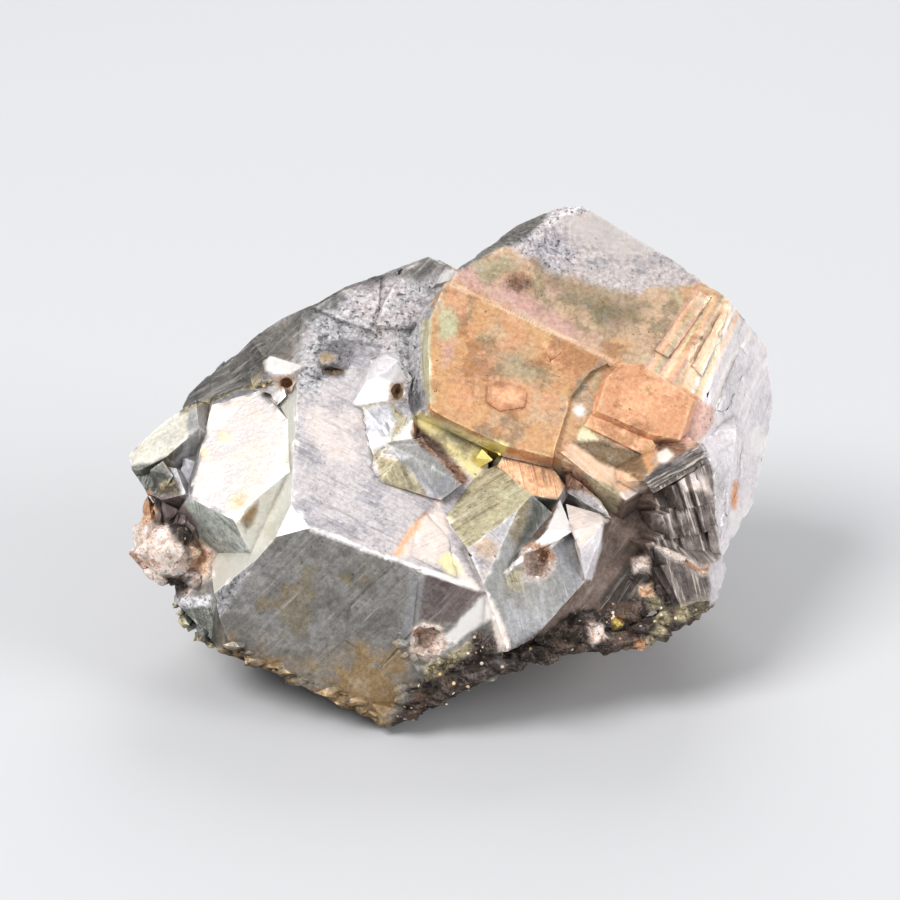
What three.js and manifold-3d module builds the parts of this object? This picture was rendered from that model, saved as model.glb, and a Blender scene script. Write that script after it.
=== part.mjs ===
import * as THREE from "three";
import { ConvexGeometry } from "three/addons/geometries/ConvexGeometry.js";
import { mergeVertices } from "three/addons/utils/BufferGeometryUtils.js";
import Module from "manifold-3d";

// A cluster of pyrite crystals grown into one another: a broad crystal on the
// right, a wide one on the left with a small white-faced crystal on its flank,
// a wedge between them, and crusted lumps round the foot.
//
// Corners are read on a sheet seen from the front and from above. A sheet
// position is across, down and near: across and down in sheet units from the
// top left, near in millimetres towards the viewer.
const UNIT = 0.0645;
const VIEW_DISTANCE = 154.8;
const LOOK_DOWN = THREE.MathUtils.degToRad(28);
const SHEET_MIDDLE = 450;
const MIDDLE = new THREE.Vector3(0, 0, 13.5);
const RIGHT = new THREE.Vector3(1, 0, 0);
const UP = new THREE.Vector3(0, Math.sin(LOOK_DOWN), Math.cos(LOOK_DOWN));
const NEAR = new THREE.Vector3(0, -Math.cos(LOOK_DOWN), Math.sin(LOOK_DOWN));
const EYE = MIDDLE.clone().addScaledVector(NEAR, VIEW_DISTANCE);

function corner(across, down, near = 0) {
  const shrink = (VIEW_DISTANCE - near) / VIEW_DISTANCE;
  return MIDDLE.clone()
    .addScaledVector(RIGHT, (across - SHEET_MIDDLE) * UNIT * shrink)
    .addScaledVector(UP, (SHEET_MIDDLE - down) * UNIT * shrink)
    .addScaledVector(NEAR, near);
}

// The point of a plane that is seen at a sheet position.
function on(plane, across, down) {
  const direction = corner(across, down).sub(EYE).normalize();
  const reach = -plane.distanceToPoint(EYE) / plane.normal.dot(direction);
  return EYE.clone().addScaledVector(direction, reach);
}

// A facet through three points, facing the viewer.
function facet(a, b, c) {
  const plane = new THREE.Plane().setFromCoplanarPoints(a, b, c);
  if (plane.distanceToPoint(EYE) < 0) {
    plane.negate();
  }
  return plane;
}

// A facet through one point, by the compass bearing and upward tilt it faces.
function facing(bearing, tilt, point) {
  const b = THREE.MathUtils.degToRad(bearing);
  const t = THREE.MathUtils.degToRad(tilt);
  const level = Math.cos(t);
  const normal = new THREE.Vector3(Math.sin(b) * level, -Math.cos(b) * level, Math.sin(t));
  return new THREE.Plane().setFromNormalAndCoplanarPoint(normal, point);
}

// A facet hinged on the line from p to q of another facet and turned down from
// it by some degrees, on the side away from the sheet position called inside.
function turned(plane, p, q, inside, degrees) {
  const start = on(plane, ...p);
  const axis = on(plane, ...q).sub(start).normalize();
  const outward = start.clone().sub(on(plane, ...inside));
  outward.addScaledVector(axis, -outward.dot(axis)).normalize();
  const angle = THREE.MathUtils.degToRad(degrees);
  const normal = plane.normal.clone().multiplyScalar(Math.cos(angle));
  normal.addScaledVector(outward, Math.sin(angle));
  return new THREE.Plane().setFromNormalAndCoplanarPoint(normal.normalize(), start);
}

// A facet through the line from p to q of another facet, leaning back out of
// sight: the side of an overhang, on the side away from inside.
function overhang(plane, p, q, inside, degrees) {
  const start = on(plane, ...p);
  const axis = on(plane, ...q).sub(start).normalize();
  const sight = start.clone().sub(EYE);
  sight.addScaledVector(axis, -sight.dot(axis)).normalize();
  const outward = start.clone().sub(on(plane, ...inside));
  outward.addScaledVector(axis, -outward.dot(axis)).addScaledVector(sight, -outward.dot(sight)).normalize();
  const angle = THREE.MathUtils.degToRad(degrees);
  const normal = outward.multiplyScalar(Math.cos(angle)).addScaledVector(sight, Math.sin(angle));
  return new THREE.Plane().setFromNormalAndCoplanarPoint(normal, start);
}

// The same facet, raised or sunk along its own normal.
function shifted(plane, rise) {
  const copy = plane.clone();
  copy.constant -= rise;
  return copy;
}

const wasm = await Module();
wasm.setup();

function solid(geometry) {
  const plain = geometry.clone();
  plain.deleteAttribute("normal");
  plain.deleteAttribute("uv");
  const welded = mergeVertices(plain, 1e-4);
  return new wasm.Manifold(new wasm.Mesh({
    numProp: 3,
    vertProperties: new Float32Array(welded.attributes.position.array),
    triVerts: new Uint32Array(welded.index.array),
  }));
}

const BLOCK_HALF = 34;
const BLOCK_SIDES = [
  [1, 0, 0], [-1, 0, 0], [0, 1, 0], [0, -1, 0], [0, 0, 1], [0, 0, -1],
].map((n) => new THREE.Plane(new THREE.Vector3(...n), -BLOCK_HALF));

function meeting(a, b, c) {
  const bc = new THREE.Vector3().crossVectors(b.normal, c.normal);
  const share = a.normal.dot(bc);
  if (Math.abs(share) < 1e-5) {
    return null;
  }
  const ca = new THREE.Vector3().crossVectors(c.normal, a.normal);
  const ab = new THREE.Vector3().crossVectors(a.normal, b.normal);
  return bc.multiplyScalar(-a.constant)
    .addScaledVector(ca, -b.constant)
    .addScaledVector(ab, -c.constant)
    .divideScalar(share);
}

// The crystal left when a block is cut by every facet.
function crystal(...facets) {
  const planes = [...facets, ...BLOCK_SIDES];
  const corners = [];
  const keep = (point) => {
    const inside = planes.every((plane) => plane.distanceToPoint(point) < 1e-5);
    if (inside && corners.every((other) => other.distanceTo(point) > 2e-3)) {
      corners.push(point);
    }
  };
  for (let i = 0; i < planes.length; i += 1) {
    for (let j = i + 1; j < planes.length; j += 1) {
      for (let k = j + 1; k < planes.length; k += 1) {
        const point = meeting(planes[i], planes[j], planes[k]);
        if (point) {
          keep(point);
        }
      }
    }
  }
  return solid(new ConvexGeometry(corners));
}

// A ledge: its top lies over a facet, raised by rise, with the given outline on
// the sheet; its sides go down by depth and spread outwards by flare.
function ledge(plane, outline, rise, depth, flare = 0) {
  const top = shifted(plane, rise);
  const upper = outline.map(([across, down]) => on(top, across, down));
  const centre = upper.reduce((sum, p) => sum.add(p), new THREE.Vector3());
  centre.divideScalar(upper.length);
  const lower = upper.map((p) => {
    const outward = p.clone().sub(centre).normalize();
    return p.clone().addScaledVector(plane.normal, -depth).addScaledVector(outward, flare);
  });
  const u = upper[1].clone().sub(upper[0]).normalize();
  const v = new THREE.Vector3().crossVectors(plane.normal, u);
  const flat = upper.map((p) => {
    const arm = p.clone().sub(centre);
    return new THREE.Vector2(arm.dot(u), arm.dot(v));
  });
  if (THREE.ShapeUtils.isClockWise(flat)) {
    flat.reverse();
    upper.reverse();
    lower.reverse();
  }
  const count = upper.length;
  const index = [];
  THREE.ShapeUtils.triangulateShape(flat, []).forEach(([a, b, c]) => {
    index.push(a, b, c, count + a, count + c, count + b);
  });
  upper.forEach((_, i) => {
    const next = (i + 1) % count;
    index.push(i, count + i, next, next, count + i, count + next);
  });
  const geometry = new THREE.BufferGeometry();
  const numbers = [...upper, ...lower].flatMap((p) => p.toArray());
  geometry.setAttribute("position", new THREE.Float32BufferAttribute(numbers, 3));
  geometry.setIndex(index);
  return solid(geometry);
}

// A block standing on a facet: its top is the facet raised by rise, its sides
// are turned down by slope degrees along a convex outline on the sheet.
function block(plane, rise, depth, outline, slope = 80) {
  const top = shifted(plane, rise);
  const inside = [0, 1].map((k) => outline.reduce((sum, p) => sum + p[k], 0) / outline.length);
  const sides = outline.map((p, i) => turned(top, p, outline[(i + 1) % outline.length], inside, slope));
  return crystal(top, shifted(plane, -depth).negate(), ...sides);
}

// A small crystal with the given corners, each seen at a sheet position and
// standing a little over a facet.
function shard(plane, ...corners) {
  const points = corners.map(([across, down, rise]) => on(shifted(plane, rise), across, down));
  return solid(new ConvexGeometry(points));
}

// A rough lump of crust: a ball with few faces, its corners pushed in and out.
function lump(centre, across, tall, deep, seed) {
  const ball = new THREE.IcosahedronGeometry(1, 1);
  ball.deleteAttribute("normal");
  ball.deleteAttribute("uv");
  const geometry = mergeVertices(ball, 1e-4);
  const position = geometry.attributes.position;
  for (let i = 0; i < position.count; i += 1) {
    const p = new THREE.Vector3().fromBufferAttribute(position, i);
    let swell = 1 + 0.08 * Math.sin(5.1 * p.x + seed);
    swell += 0.08 * Math.sin(6.3 * p.y + 2.1 * seed);
    swell += 0.08 * Math.sin(7.7 * p.z + 3.7 * seed);
    const placed = centre.clone()
      .addScaledVector(RIGHT, p.x * across * swell)
      .addScaledVector(UP, p.y * tall * swell)
      .addScaledVector(NEAR, p.z * deep * swell);
    position.setXYZ(i, placed.x, placed.y, placed.z);
  }
  return solid(geometry);
}

// A broken chunk of crust: the hull of a few points scattered on an egg shape.
const CHUNK_POINTS = 11;
const GOLDEN_ANGLE = 2.39996;

function chunk(centre, across, tall, deep, seed) {
  const points = [];
  for (let i = 0; i < CHUNK_POINTS; i += 1) {
    const height = 1 - (2 * i + 1) / CHUNK_POINTS;
    const ring = Math.sqrt(1 - height * height);
    const turn = GOLDEN_ANGLE * i + 1.7 * seed;
    const swell = 0.9 + 0.22 * Math.sin(3.3 * i + 2.7 * seed);
    points.push(centre.clone()
      .addScaledVector(RIGHT, ring * Math.cos(turn) * across * swell)
      .addScaledVector(UP, height * tall * swell)
      .addScaledVector(NEAR, ring * Math.sin(turn) * deep * swell));
  }
  return solid(new ConvexGeometry(points));
}

// Facets shared by several parts.
const RIGHT_FACE = facet(corner(568, 203, -2.5), corner(779, 360, -0.2), corner(431, 400, 3.4));
const RIGHT_INSIDE = [600, 380];
const PLATE_RISE = 0.35;
const RIGHT_BAND = turned(RIGHT_FACE, [722, 300], [683, 372], RIGHT_INSIDE, 9);
const RIGHT_SIDE = turned(RIGHT_BAND, [728, 310], [703, 420], RIGHT_INSIDE, 34);
const LEFT_FACE = facet(corner(400, 267, -3.0), corner(310, 528, 6.2), corner(488, 597, 7.2));
const LEFT_INSIDE = [370, 480];
const FRONT_FACE = turned(LEFT_FACE, [310, 528], [488, 597], LEFT_INSIDE, 42);
const FRONT_INSIDE = [360, 620];
const WHITE_FACE = facet(corner(288, 420, 2.3), corner(262, 494, 4.4), corner(200, 450, 0.6));
const WHITE_INSIDE = [235, 455];
const PALE_FACE = facet(corner(190, 413, -0.2), corner(190, 440, 0.8), corner(131, 460, -0.6));
const FOOT_FACE = facet(corner(140, 500, -0.9), corner(228, 560, 2.6), corner(180, 620, 1.9));
const WEDGE_FACE = facet(corner(465, 480, 3.6), corner(530, 497, 4.6), corner(470, 545, 6.2));
const WEDGE_INSIDE = [490, 520];
const WEDGE_FRONT = turned(WEDGE_FACE, [470, 546], [510, 516], WEDGE_INSIDE, 13);
const WEDGE_SIDE = facet(corner(530, 497, 4.6), corner(505, 573, 6.6), corner(585, 580, 5.6));
const DARK_FACE = facet(corner(650, 480, 2.2), corner(605, 530, 3.3), corner(600, 650, 4.8));
const FLAKE_FACE = facing(26, 22, corner(690, 520, 3.6));

const RIGHT_BACK = facing(180, 6, new THREE.Vector3(0, 12.2, 12));
const LEFT_BACK = facing(180, 8, new THREE.Vector3(0, 11.3, 14));

const FLOOR = -0.6;
const FOOT = new THREE.Vector3(0.29, 0.31, FLOOR);

function rightCrystal() {
  const bevel = turned(RIGHT_FACE, [460, 270], [538, 228], RIGHT_INSIDE, 50);
  return crystal(
    RIGHT_FACE,
    bevel,
    turned(bevel, [457, 269], [530, 216], RIGHT_INSIDE, 45),
    turned(RIGHT_FACE, [530, 216], [566, 201], RIGHT_INSIDE, 78),
    turned(RIGHT_FACE, [560, 201], [610, 212], RIGHT_INSIDE, 82),
    turned(RIGHT_FACE, [600, 207], [700, 277], RIGHT_INSIDE, 82),
    turned(RIGHT_BAND, [700, 277], [745, 312], RIGHT_INSIDE, 82),
    turned(RIGHT_SIDE, [745, 314], [781, 362], RIGHT_INSIDE, 80),
    RIGHT_BAND,
    RIGHT_SIDE,
    turned(RIGHT_SIDE, [780, 362], [772, 412], RIGHT_INSIDE, 66),
    turned(RIGHT_SIDE, [774, 405], [752, 510], RIGHT_INSIDE, 66),
    turned(RIGHT_SIDE, [755, 500], [732, 540], RIGHT_INSIDE, 62),
    turned(RIGHT_FACE, [433, 406], [650, 497], RIGHT_INSIDE, 74),
    turned(RIGHT_FACE, [431, 400], [431, 318], RIGHT_INSIDE, 62),
    turned(RIGHT_FACE, [432, 320], [456, 272], RIGHT_INSIDE, 66),
    RIGHT_BACK,
    facing(128, -12, new THREE.Vector3(18.4, 7.5, 10)),
    facing(232, -14, new THREE.Vector3(-3, 11, 8)),
    facing(90, -52, new THREE.Vector3(16.6, 2, 6)),
    facing(0, -90, new THREE.Vector3(0, 0, 2)),
  );
}

// Growth steps on the broad face of the right crystal.
function rightSteps() {
  const plate = [
    [446, 282], [480, 299], [508, 311], [540, 327], [570, 343], [590, 353], [608, 363], [590, 372],
    [580, 385], [572, 395], [560, 432], [553, 458], [530, 452], [505, 446], [480, 434], [450, 420],
    [430, 409], [428, 345], [430, 320], [437, 302],
  ];
  const islet = [[488, 386], [510, 383], [527, 392], [524, 407], [500, 411], [487, 402]];
  const redBlock = [
    [597, 411], [605, 380], [620, 363], [645, 365], [665, 378], [694, 399], [688, 418], [680, 440],
    [650, 434],
  ];
  const lowerTier = [[585, 425], [592, 412], [648, 434], [656, 446], [650, 458], [640, 453], [600, 441]];
  const lowLedge = [[560, 452], [575, 446], [600, 458], [628, 472], [648, 486], [626, 500], [600, 484]];
  const innerBand = [[655, 350], [680, 315], [700, 289], [712, 296], [694, 322], [669, 358]];
  const outerBand = [[692, 366], [712, 328], [722, 312], [725, 322], [712, 352], [702, 376]];
  const sideStep = [
    [742, 346], [752, 360], [741, 380], [733, 400], [726, 412], [717, 411], [724, 388], [734, 364],
  ];
  const sidePlate = [
    [718, 436], [734, 426], [744, 440], [738, 492], [728, 516], [719, 506], [720, 480], [716, 455],
  ];
  return [
    ledge(RIGHT_FACE, plate, PLATE_RISE, 1.2, 0.25),
    ledge(RIGHT_FACE, islet, PLATE_RISE + 0.07, 0.3, 0.1),
    ledge(RIGHT_FACE, [[545, 345], [562, 351], [550, 362]], PLATE_RISE + 0.06, 0.3, 0.05),
    block(RIGHT_FACE, 0.6, 1.5, redBlock, 66),
    block(RIGHT_FACE, 0.15, 2.4, lowerTier, 68),
    block(RIGHT_FACE, 0.1, 3.0, lowLedge, 72),
    ledge(RIGHT_FACE, innerBand, 0.1, 0.4, 0.1),
    ledge(RIGHT_BAND, outerBand, 0.1, 0.4, 0.1),
    ledge(RIGHT_SIDE, sideStep, 0.1, 0.3, 0.05),
    ledge(RIGHT_SIDE, sidePlate, 0.08, 0.3, 0.05),
  ];
}

// The broken recess under the white side of the right crystal.
function rightRecess() {
  const outline = [
    [655, 456], [690, 446], [708, 430], [706, 450], [713, 480], [704, 502], [712, 530], [721, 562],
    [690, 580], [640, 560], [622, 512], [648, 490],
  ];
  return ledge(RIGHT_FACE, outline, 3, 2.2, -0.4);
}

function leftCrystal() {
  const flank = turned(LEFT_FACE, [296, 415], [291, 505], LEFT_INSIDE, 48);
  const strip = turned(FRONT_FACE, [266, 545], [224, 612], FRONT_INSIDE, 32);
  return crystal(
    LEFT_FACE,
    FRONT_FACE,
    flank,
    facet(on(LEFT_FACE, 291, 505), on(LEFT_FACE, 310, 528), on(FRONT_FACE, 275, 537)),
    strip,
    turned(strip, [212, 578], [222, 650], FRONT_INSIDE, 42),
    turned(FRONT_FACE, [222, 648], [387, 727], FRONT_INSIDE, 78),
    turned(FRONT_FACE, [387, 727], [500, 668], FRONT_INSIDE, 78),
    turned(LEFT_FACE, [250, 341], [345, 287], LEFT_INSIDE, 78),
    turned(LEFT_FACE, [345, 287], [430, 256], LEFT_INSIDE, 78),
    turned(LEFT_FACE, [430, 256], [470, 276], LEFT_INSIDE, 78),
    facing(90, 5, corner(488, 450, 0)),
    LEFT_BACK,
    facing(212, -18, new THREE.Vector3(-10, 6, 10)),
    facing(268, -22, new THREE.Vector3(-15.5, -3, 9)),
    facing(0, -90, new THREE.Vector3(0, 0, -2)),
  );
}

// Steps and small crystals on the left crystal.
function leftSteps() {
  return [
    block(LEFT_FACE, -0.1, 4, [[250, 341], [262, 331], [283, 318], [312, 305], [318, 330], [302, 372],
      [290, 392], [268, 362]], 72),
    block(LEFT_FACE, 0.3, 1, [[386, 300], [400, 270], [430, 258], [452, 274], [434, 300], [418, 326],
      [372, 325]], 60),
    block(LEFT_FACE, 0.55, 1, [[436, 284], [447, 264], [458, 270], [453, 280]], 60),
    block(LEFT_FACE, 0.2, 1, [[312, 308], [345, 290], [380, 278], [376, 334], [342, 319]], 60),
    block(LEFT_FACE, 0.22, 1, [[318, 354], [328, 350], [337, 355], [334, 363], [322, 363]], 40),
    block(LEFT_FACE, 0.3, 1, [[264, 362], [270, 356], [302, 366], [286, 376], [266, 370]], 55),
    block(LEFT_FACE, 0.08, 1, [[418, 521], [440, 498], [449, 540], [462, 556], [484, 588], [440, 570],
      [412, 556]], 60),
    block(FRONT_FACE, 0.1, 1, [[350, 606], [398, 563], [418, 575], [412, 630], [380, 668], [345, 640]], 60),
    ...nookCrystals(),
  ];
}

// Small crystals in the nook between the left and the right crystal.
function nookCrystals() {
  return [
    shard(LEFT_FACE, [352, 404, 0.05], [366, 383, 0.45], [376, 377, 0.65], [391, 381, 0.65],
      [388, 401, 0.45], [370, 360, 0.05], [399, 361, 0.6], [412, 378, 0.5], [408, 402, 0.4], [364, 410, 0],
      [380, 352, 0.05], [410, 400, -1]),
    shard(LEFT_FACE, [362, 404, 0.05], [388, 398, 0.42], [408, 402, 0.4], [413, 420, 0.7], [415, 438, 0.75],
      [391, 441, 0.6], [374, 457, 0.1], [364, 432, 0.05], [420, 405, -1], [420, 450, -1]),
    shard(LEFT_FACE, [374, 455, 0.15], [388, 444, 0.6], [422, 437, 0.85], [428, 445, 1.1], [415, 457, 1.1],
      [399, 458, 0.85], [441, 458, 1.0], [462, 484, 0.9], [441, 500, 0.4], [430, 498, 0.15], [380, 482, 0],
      [372, 468, 0.1], [400, 470, -2], [450, 470, -2]),
  ];
}

function whiteCrystal() {
  const top = turned(WHITE_FACE, [212, 405], [262, 390], WHITE_INSIDE, 26);
  const bevel = facet(on(WHITE_FACE, 288, 420), on(WHITE_FACE, 262, 494), on(LEFT_FACE, 291, 505));
  return crystal(
    WHITE_FACE,
    bevel,
    top,
    turned(WHITE_FACE, [262, 390], [288, 420], WHITE_INSIDE, 42),
    turned(WHITE_FACE, [212, 405], [188, 497], WHITE_INSIDE, 44),
    turned(WHITE_FACE, [188, 497], [233, 520], WHITE_INSIDE, 52),
    turned(WHITE_FACE, [233, 520], [262, 494], WHITE_INSIDE, 38),
    turned(top, [190, 393], [250, 341], WHITE_INSIDE, 64),
    facing(90, 0, corner(300, 450, 0)),
    facing(180, 12, new THREE.Vector3(-12, 8.5, 15)),
    facing(230, -10, new THREE.Vector3(-15.5, 6, 12)),
    facing(0, -90, new THREE.Vector3(0, 0, 8.5)),
  );
}

// The pale block at the far left, and the foot under the white crystal.
function leftEnd() {
  return [
    block(PALE_FACE, 0, 5, [[129, 456], [134, 448], [167, 420], [196, 400], [200, 440], [166, 457],
      [150, 471], [132, 470]], 80),
    block(PALE_FACE, -0.6, 4, [[133, 470], [150, 464], [176, 468], [186, 494], [162, 500], [146, 492]], 84),
    shard(PALE_FACE, [150, 470, 0], [163, 461, 0], [173, 476, -0.3], [165, 489, -0.6], [154, 493, -0.8],
      [160, 478, -3]),
    shard(WHITE_FACE, [182, 408, -1.4], [189, 394, -1.8], [205, 378, -2.2], [224, 361, -2.4],
      [214, 401, -0.6], [194, 412, -0.9], [200, 432, -4], [235, 375, -4]),
    shard(WHITE_FACE, [268, 392, 0.3], [275, 383, 0.5], [284, 388, 0.5], [286, 396, 0.3], [277, 406, 0.1],
      [276, 394, -2]),
    crystal(
      FOOT_FACE,
      turned(FOOT_FACE, [146, 492], [142, 560], [190, 570], 70),
      turned(FOOT_FACE, [142, 566], [174, 600], [190, 560], 66),
      turned(FOOT_FACE, [173, 600], [178, 632], [210, 590], 78),
      turned(FOOT_FACE, [178, 632], [226, 656], [210, 590], 92),
      turned(FOOT_FACE, [222, 545], [210, 650], [180, 580], 40),
      facing(90, 0, new THREE.Vector3(-6, 0, 8)),
      facing(0, 90, new THREE.Vector3(0, 0, 13)),
      facing(180, 0, new THREE.Vector3(0, 3, 8)),
      facing(236, -22, new THREE.Vector3(-15, -1, 7)),
      facing(0, -90, new THREE.Vector3(0, 0, FLOOR)),
    ),
    lump(corner(172, 551, 1.4), 2.1, 1.6, 2.0, 1),
    lump(corner(150, 540, 0.4), 1.1, 1.4, 1.4, 2),
    ...crustLine(FOOT_FACE, [[144, 528], [142, 556], [166, 578], [196, 578]], 10, 0.8, 0.6, 141),
    ...crustLine(FOOT_FACE, [[146, 512], [156, 516], [170, 522]], 5, 0.34, 1.25, 151),
    ...crustLine(FOOT_FACE, [[168, 512], [186, 530], [198, 556]], 6, 0.6, 1.1, 161),
    ...crustLine(shifted(FOOT_FACE, 0.5), [[160, 536], [182, 550], [172, 566]], 5, 1.1, 0.7, 171),
    ...crustLine(shifted(FOOT_FACE, -0.25), [[181, 600], [188, 628], [216, 645]], 7, 0.5, 0.45, 181),
  ];
}

// The wedge-shaped crystal in the middle, its bright facets and its root.
function wedgeCrystal() {
  const sideInside = [545, 560];
  return [
    crystal(
      WEDGE_FACE,
      WEDGE_FRONT,
      WEDGE_SIDE,
      turned(WEDGE_FACE, [465, 479], [497, 465], WEDGE_INSIDE, 60),
      turned(WEDGE_FACE, [497, 465], [531, 494], WEDGE_INSIDE, 70),
      turned(WEDGE_SIDE, [575, 530], [588, 582], sideInside, 46),
      overhang(WEDGE_SIDE, [586, 580], [538, 634], sideInside, 4),
      overhang(WEDGE_FRONT, [560, 630], [498, 658], [520, 580], 14),
      turned(WEDGE_FRONT, [514, 652], [486, 590], [520, 580], 60),
      turned(WEDGE_FACE, [440, 500], [446, 540], WEDGE_INSIDE, 60),
      facing(0, 90, new THREE.Vector3(0, 0, 15)),
      facing(90, 0, new THREE.Vector3(9, 0, 8)),
      facing(270, 0, new THREE.Vector3(-3, 0, 8)),
      facing(180, 0, new THREE.Vector3(0, 2, 8)),
      facing(0, -90, new THREE.Vector3(0, 0, 2)),
    ),
    shard(WEDGE_SIDE, [560, 500, -0.3], [573, 531, 0.5], [503, 574, 0.35], [548, 530, 0.7], [545, 545, -1]),
    shard(WEDGE_SIDE, [566, 504, -0.5], [600, 514, 0.2], [612, 519, -0.2], [604, 525, 0.9], [580, 549, 1.0],
      [571, 531, 0.5], [600, 551, 0.2], [592, 579, -0.2], [585, 580, 0.1], [580, 561, 0.6], [590, 540, -2.5]),
    block(RIGHT_FACE, -1.1, 2, [[497, 466], [508, 449], [548, 463], [566, 485], [557, 500], [530, 495],
      [512, 481]], 66),
    shard(RIGHT_FACE, [476, 458, -1.0], [482, 449, -0.6], [493, 460, -0.4], [480, 467, -1.2], [484, 458, -3]),
    shard(RIGHT_FACE, [489, 446, -0.8], [505, 443, -0.4], [500, 456, -0.7], [498, 448, -3]),
    shard(RIGHT_FACE, [565, 473, -1.2], [580, 482, -0.7], [604, 504, -0.5], [612, 519, -0.4],
      [592, 514, -1.2], [566, 492, -1.6], [590, 495, -4]),
  ];
}

// The dark root under the wedge and the right crystal, with its flaky plates.
function darkRoot() {
  const inside = [590, 590];
  const blocks = [
    [0.35, [672, 486], [708, 462], [716, 501], [682, 511], 6],
    [0.05, [662, 513], [713, 498], [719, 530], [672, 540], 7],
    [-0.2, [646, 541], [716, 527], [722, 558], [660, 566], 8],
    [0.15, [654, 567], [717, 558], [718, 597], [678, 611], 8],
  ];
  const between = (p, q, share) => [p[0] + (q[0] - p[0]) * share, p[1] + (q[1] - p[1]) * share];
  const overlap = 0.12;
  const laminae = blocks.flatMap(([rise, a, b, c, d, count], row) => (
    Array.from({ length: count }, (_, i) => {
      const from = (i - overlap) / count;
      const to = (i + 1 + overlap) / count;
      const step = 0.2 * i / count + 0.17 * Math.sin(2.4 * i + 1.9 * row);
      const ragged = 3 * Math.sin(3.1 * i + row);
      const strip = [between(a, b, from), between(a, b, to), between(d, c, to), between(d, c, from)];
      strip[0][1] += ragged;
      strip[1][1] += ragged;
      return block(FLAKE_FACE, rise + step, 2.5, strip, 84);
    })
  ));
  const flakes = [0, 1, 2].map((i) => {
    const outline = [[644, 481], [645, 476], [664, 465], [703, 446], [706, 451], [668, 473], [648, 484]];
    const lowered = outline.map(([across, down]) => [across + 3 * i, down + 4.5 * i]);
    return block(FLAKE_FACE, 1.0 - 0.3 * i, 3, lowered, 80);
  });
  return [
    crystal(
      DARK_FACE,
      turned(DARK_FACE, [640, 482], [520, 562], inside, 70),
      overhang(DARK_FACE, [480, 672], [560, 644], inside, 12),
      overhang(DARK_FACE, [560, 644], [640, 649], inside, 10),
      overhang(DARK_FACE, [636, 650], [712, 600], inside, 8),
      overhang(DARK_FACE, [712, 600], [718, 560], inside, 6),
      facing(0, 90, new THREE.Vector3(0, 0, 15)),
      facing(180, 0, new THREE.Vector3(0, 9, 8)),
      facing(120, -30, new THREE.Vector3(15.5, 2, 9)),
      facing(90, -10, new THREE.Vector3(17.2, 0, 8)),
      facing(270, 0, new THREE.Vector3(2.5, 0, 8)),
      facing(0, -90, new THREE.Vector3(0, 0, FLOOR)),
    ),
    ...laminae,
    block(facing(60, 10, corner(718, 580, 3.2)), 0, 3, [[708, 566], [722, 556], [728, 567], [723, 582],
      [718, 600], [710, 606]], 66),
    ...flakes,
  ];
}

// Crust along a line of sheet positions on a facet: overlapping broken chunks
// of uneven size, each about wide across and tall.
function crustLine(plane, path, count, wide, tall, seed) {
  return Array.from({ length: count }, (_, i) => {
    const way = (i + 0.5) / count * (path.length - 1);
    const leg = Math.floor(way);
    const [start, end] = [path[leg], path[leg + 1]];
    const across = start[0] + (end[0] - start[0]) * (way - leg) + 3 * Math.sin(5.3 * i + seed);
    const down = start[1] + (end[1] - start[1]) * (way - leg) + 3 * Math.cos(3.7 * i + 2 * seed);
    const size = 1 + 0.35 * Math.sin(2.3 * i + 1.3 * seed);
    const rise = 0.12 * Math.sin(4.1 * i + seed);
    const centre = on(shifted(plane, rise), across, down);
    return chunk(centre, wide * size, tall * size, 0.5 * (wide + tall) * size, seed + i);
  });
}

function crust() {
  const grains = [
    [598, 632, 0.58], [618, 623, 0.42], [573, 615, 0.34], [640, 645, 0.42], [640, 565, 0.46],
    [645, 590, 0.36], [652, 598, 0.3], [632, 578, 0.24],
  ];
  const frontDeep = shifted(FRONT_FACE, -0.4);
  const darkDeep = shifted(DARK_FACE, -0.45);
  return [
    ...crustLine(shifted(FRONT_FACE, -0.14), [[228, 646], [300, 677], [384, 716]], 17, 0.75, 0.3, 1),
    ...crustLine(frontDeep, [[388, 714], [430, 695], [488, 667]], 12, 1.35, 0.72, 21),
    ...crustLine(frontDeep, [[400, 690], [440, 677], [480, 656]], 7, 1.0, 0.55, 35),
    ...crustLine(FRONT_FACE, [[404, 628], [403, 652], [420, 666], [446, 660], [452, 640]], 9, 0.5, 0.36, 43),
    ...crustLine(darkDeep, [[498, 664], [540, 648], [575, 641], [640, 642]], 13, 1.45, 0.66, 54),
    ...crustLine(darkDeep, [[560, 622], [600, 620], [640, 612], [672, 590]], 8, 1.1, 0.5, 72),
    ...crustLine(darkDeep, [[640, 636], [668, 622], [690, 608], [704, 594]], 9, 1.3, 0.8, 82),
    ...grains.map(([across, down, size], i) => (
      chunk(on(DARK_FACE, across, down), size, 0.9 * size, 0.8 * size, 93 + i)
    )),
  ];
}

// Hollows: a round pit in the front face, one in the wedge and small nooks.
function hollows() {
  return [
    lump(on(FRONT_FACE, 427, 640), 0.95, 0.95, 0.9, 11),
    lump(on(WEDGE_SIDE, 537, 562), 0.9, 1.1, 0.9, 12),
    lump(on(shifted(LEFT_FACE, 0.5), 397, 391), 0.38, 0.5, 0.8, 13),
    lump(on(LEFT_FACE, 286, 383), 0.45, 0.35, 1, 14),
    lump(on(LEFT_FACE, 331, 371), 0.7, 0.28, 0.4, 15),
    lump(on(RIGHT_FACE, 667, 457), 0.5, 0.45, 0.8, 16),
  ];
}

function root() {
  return crystal(
    facing(0, -90, new THREE.Vector3(0, 0, FLOOR)),
    facing(0, 90, new THREE.Vector3(0, 0, 9)),
    facing(180, -24, new THREE.Vector3(0, 10, 5)),
    facing(140, -20, new THREE.Vector3(9, 8, 5)),
    facing(96, -24, new THREE.Vector3(12, 3, 5)),
    facing(262, -22, new THREE.Vector3(-12, 2, 5)),
    facing(222, -16, new THREE.Vector3(-9, 7, 5)),
    facing(0, 0, new THREE.Vector3(0, -2, 5)),
  );
}

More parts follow.
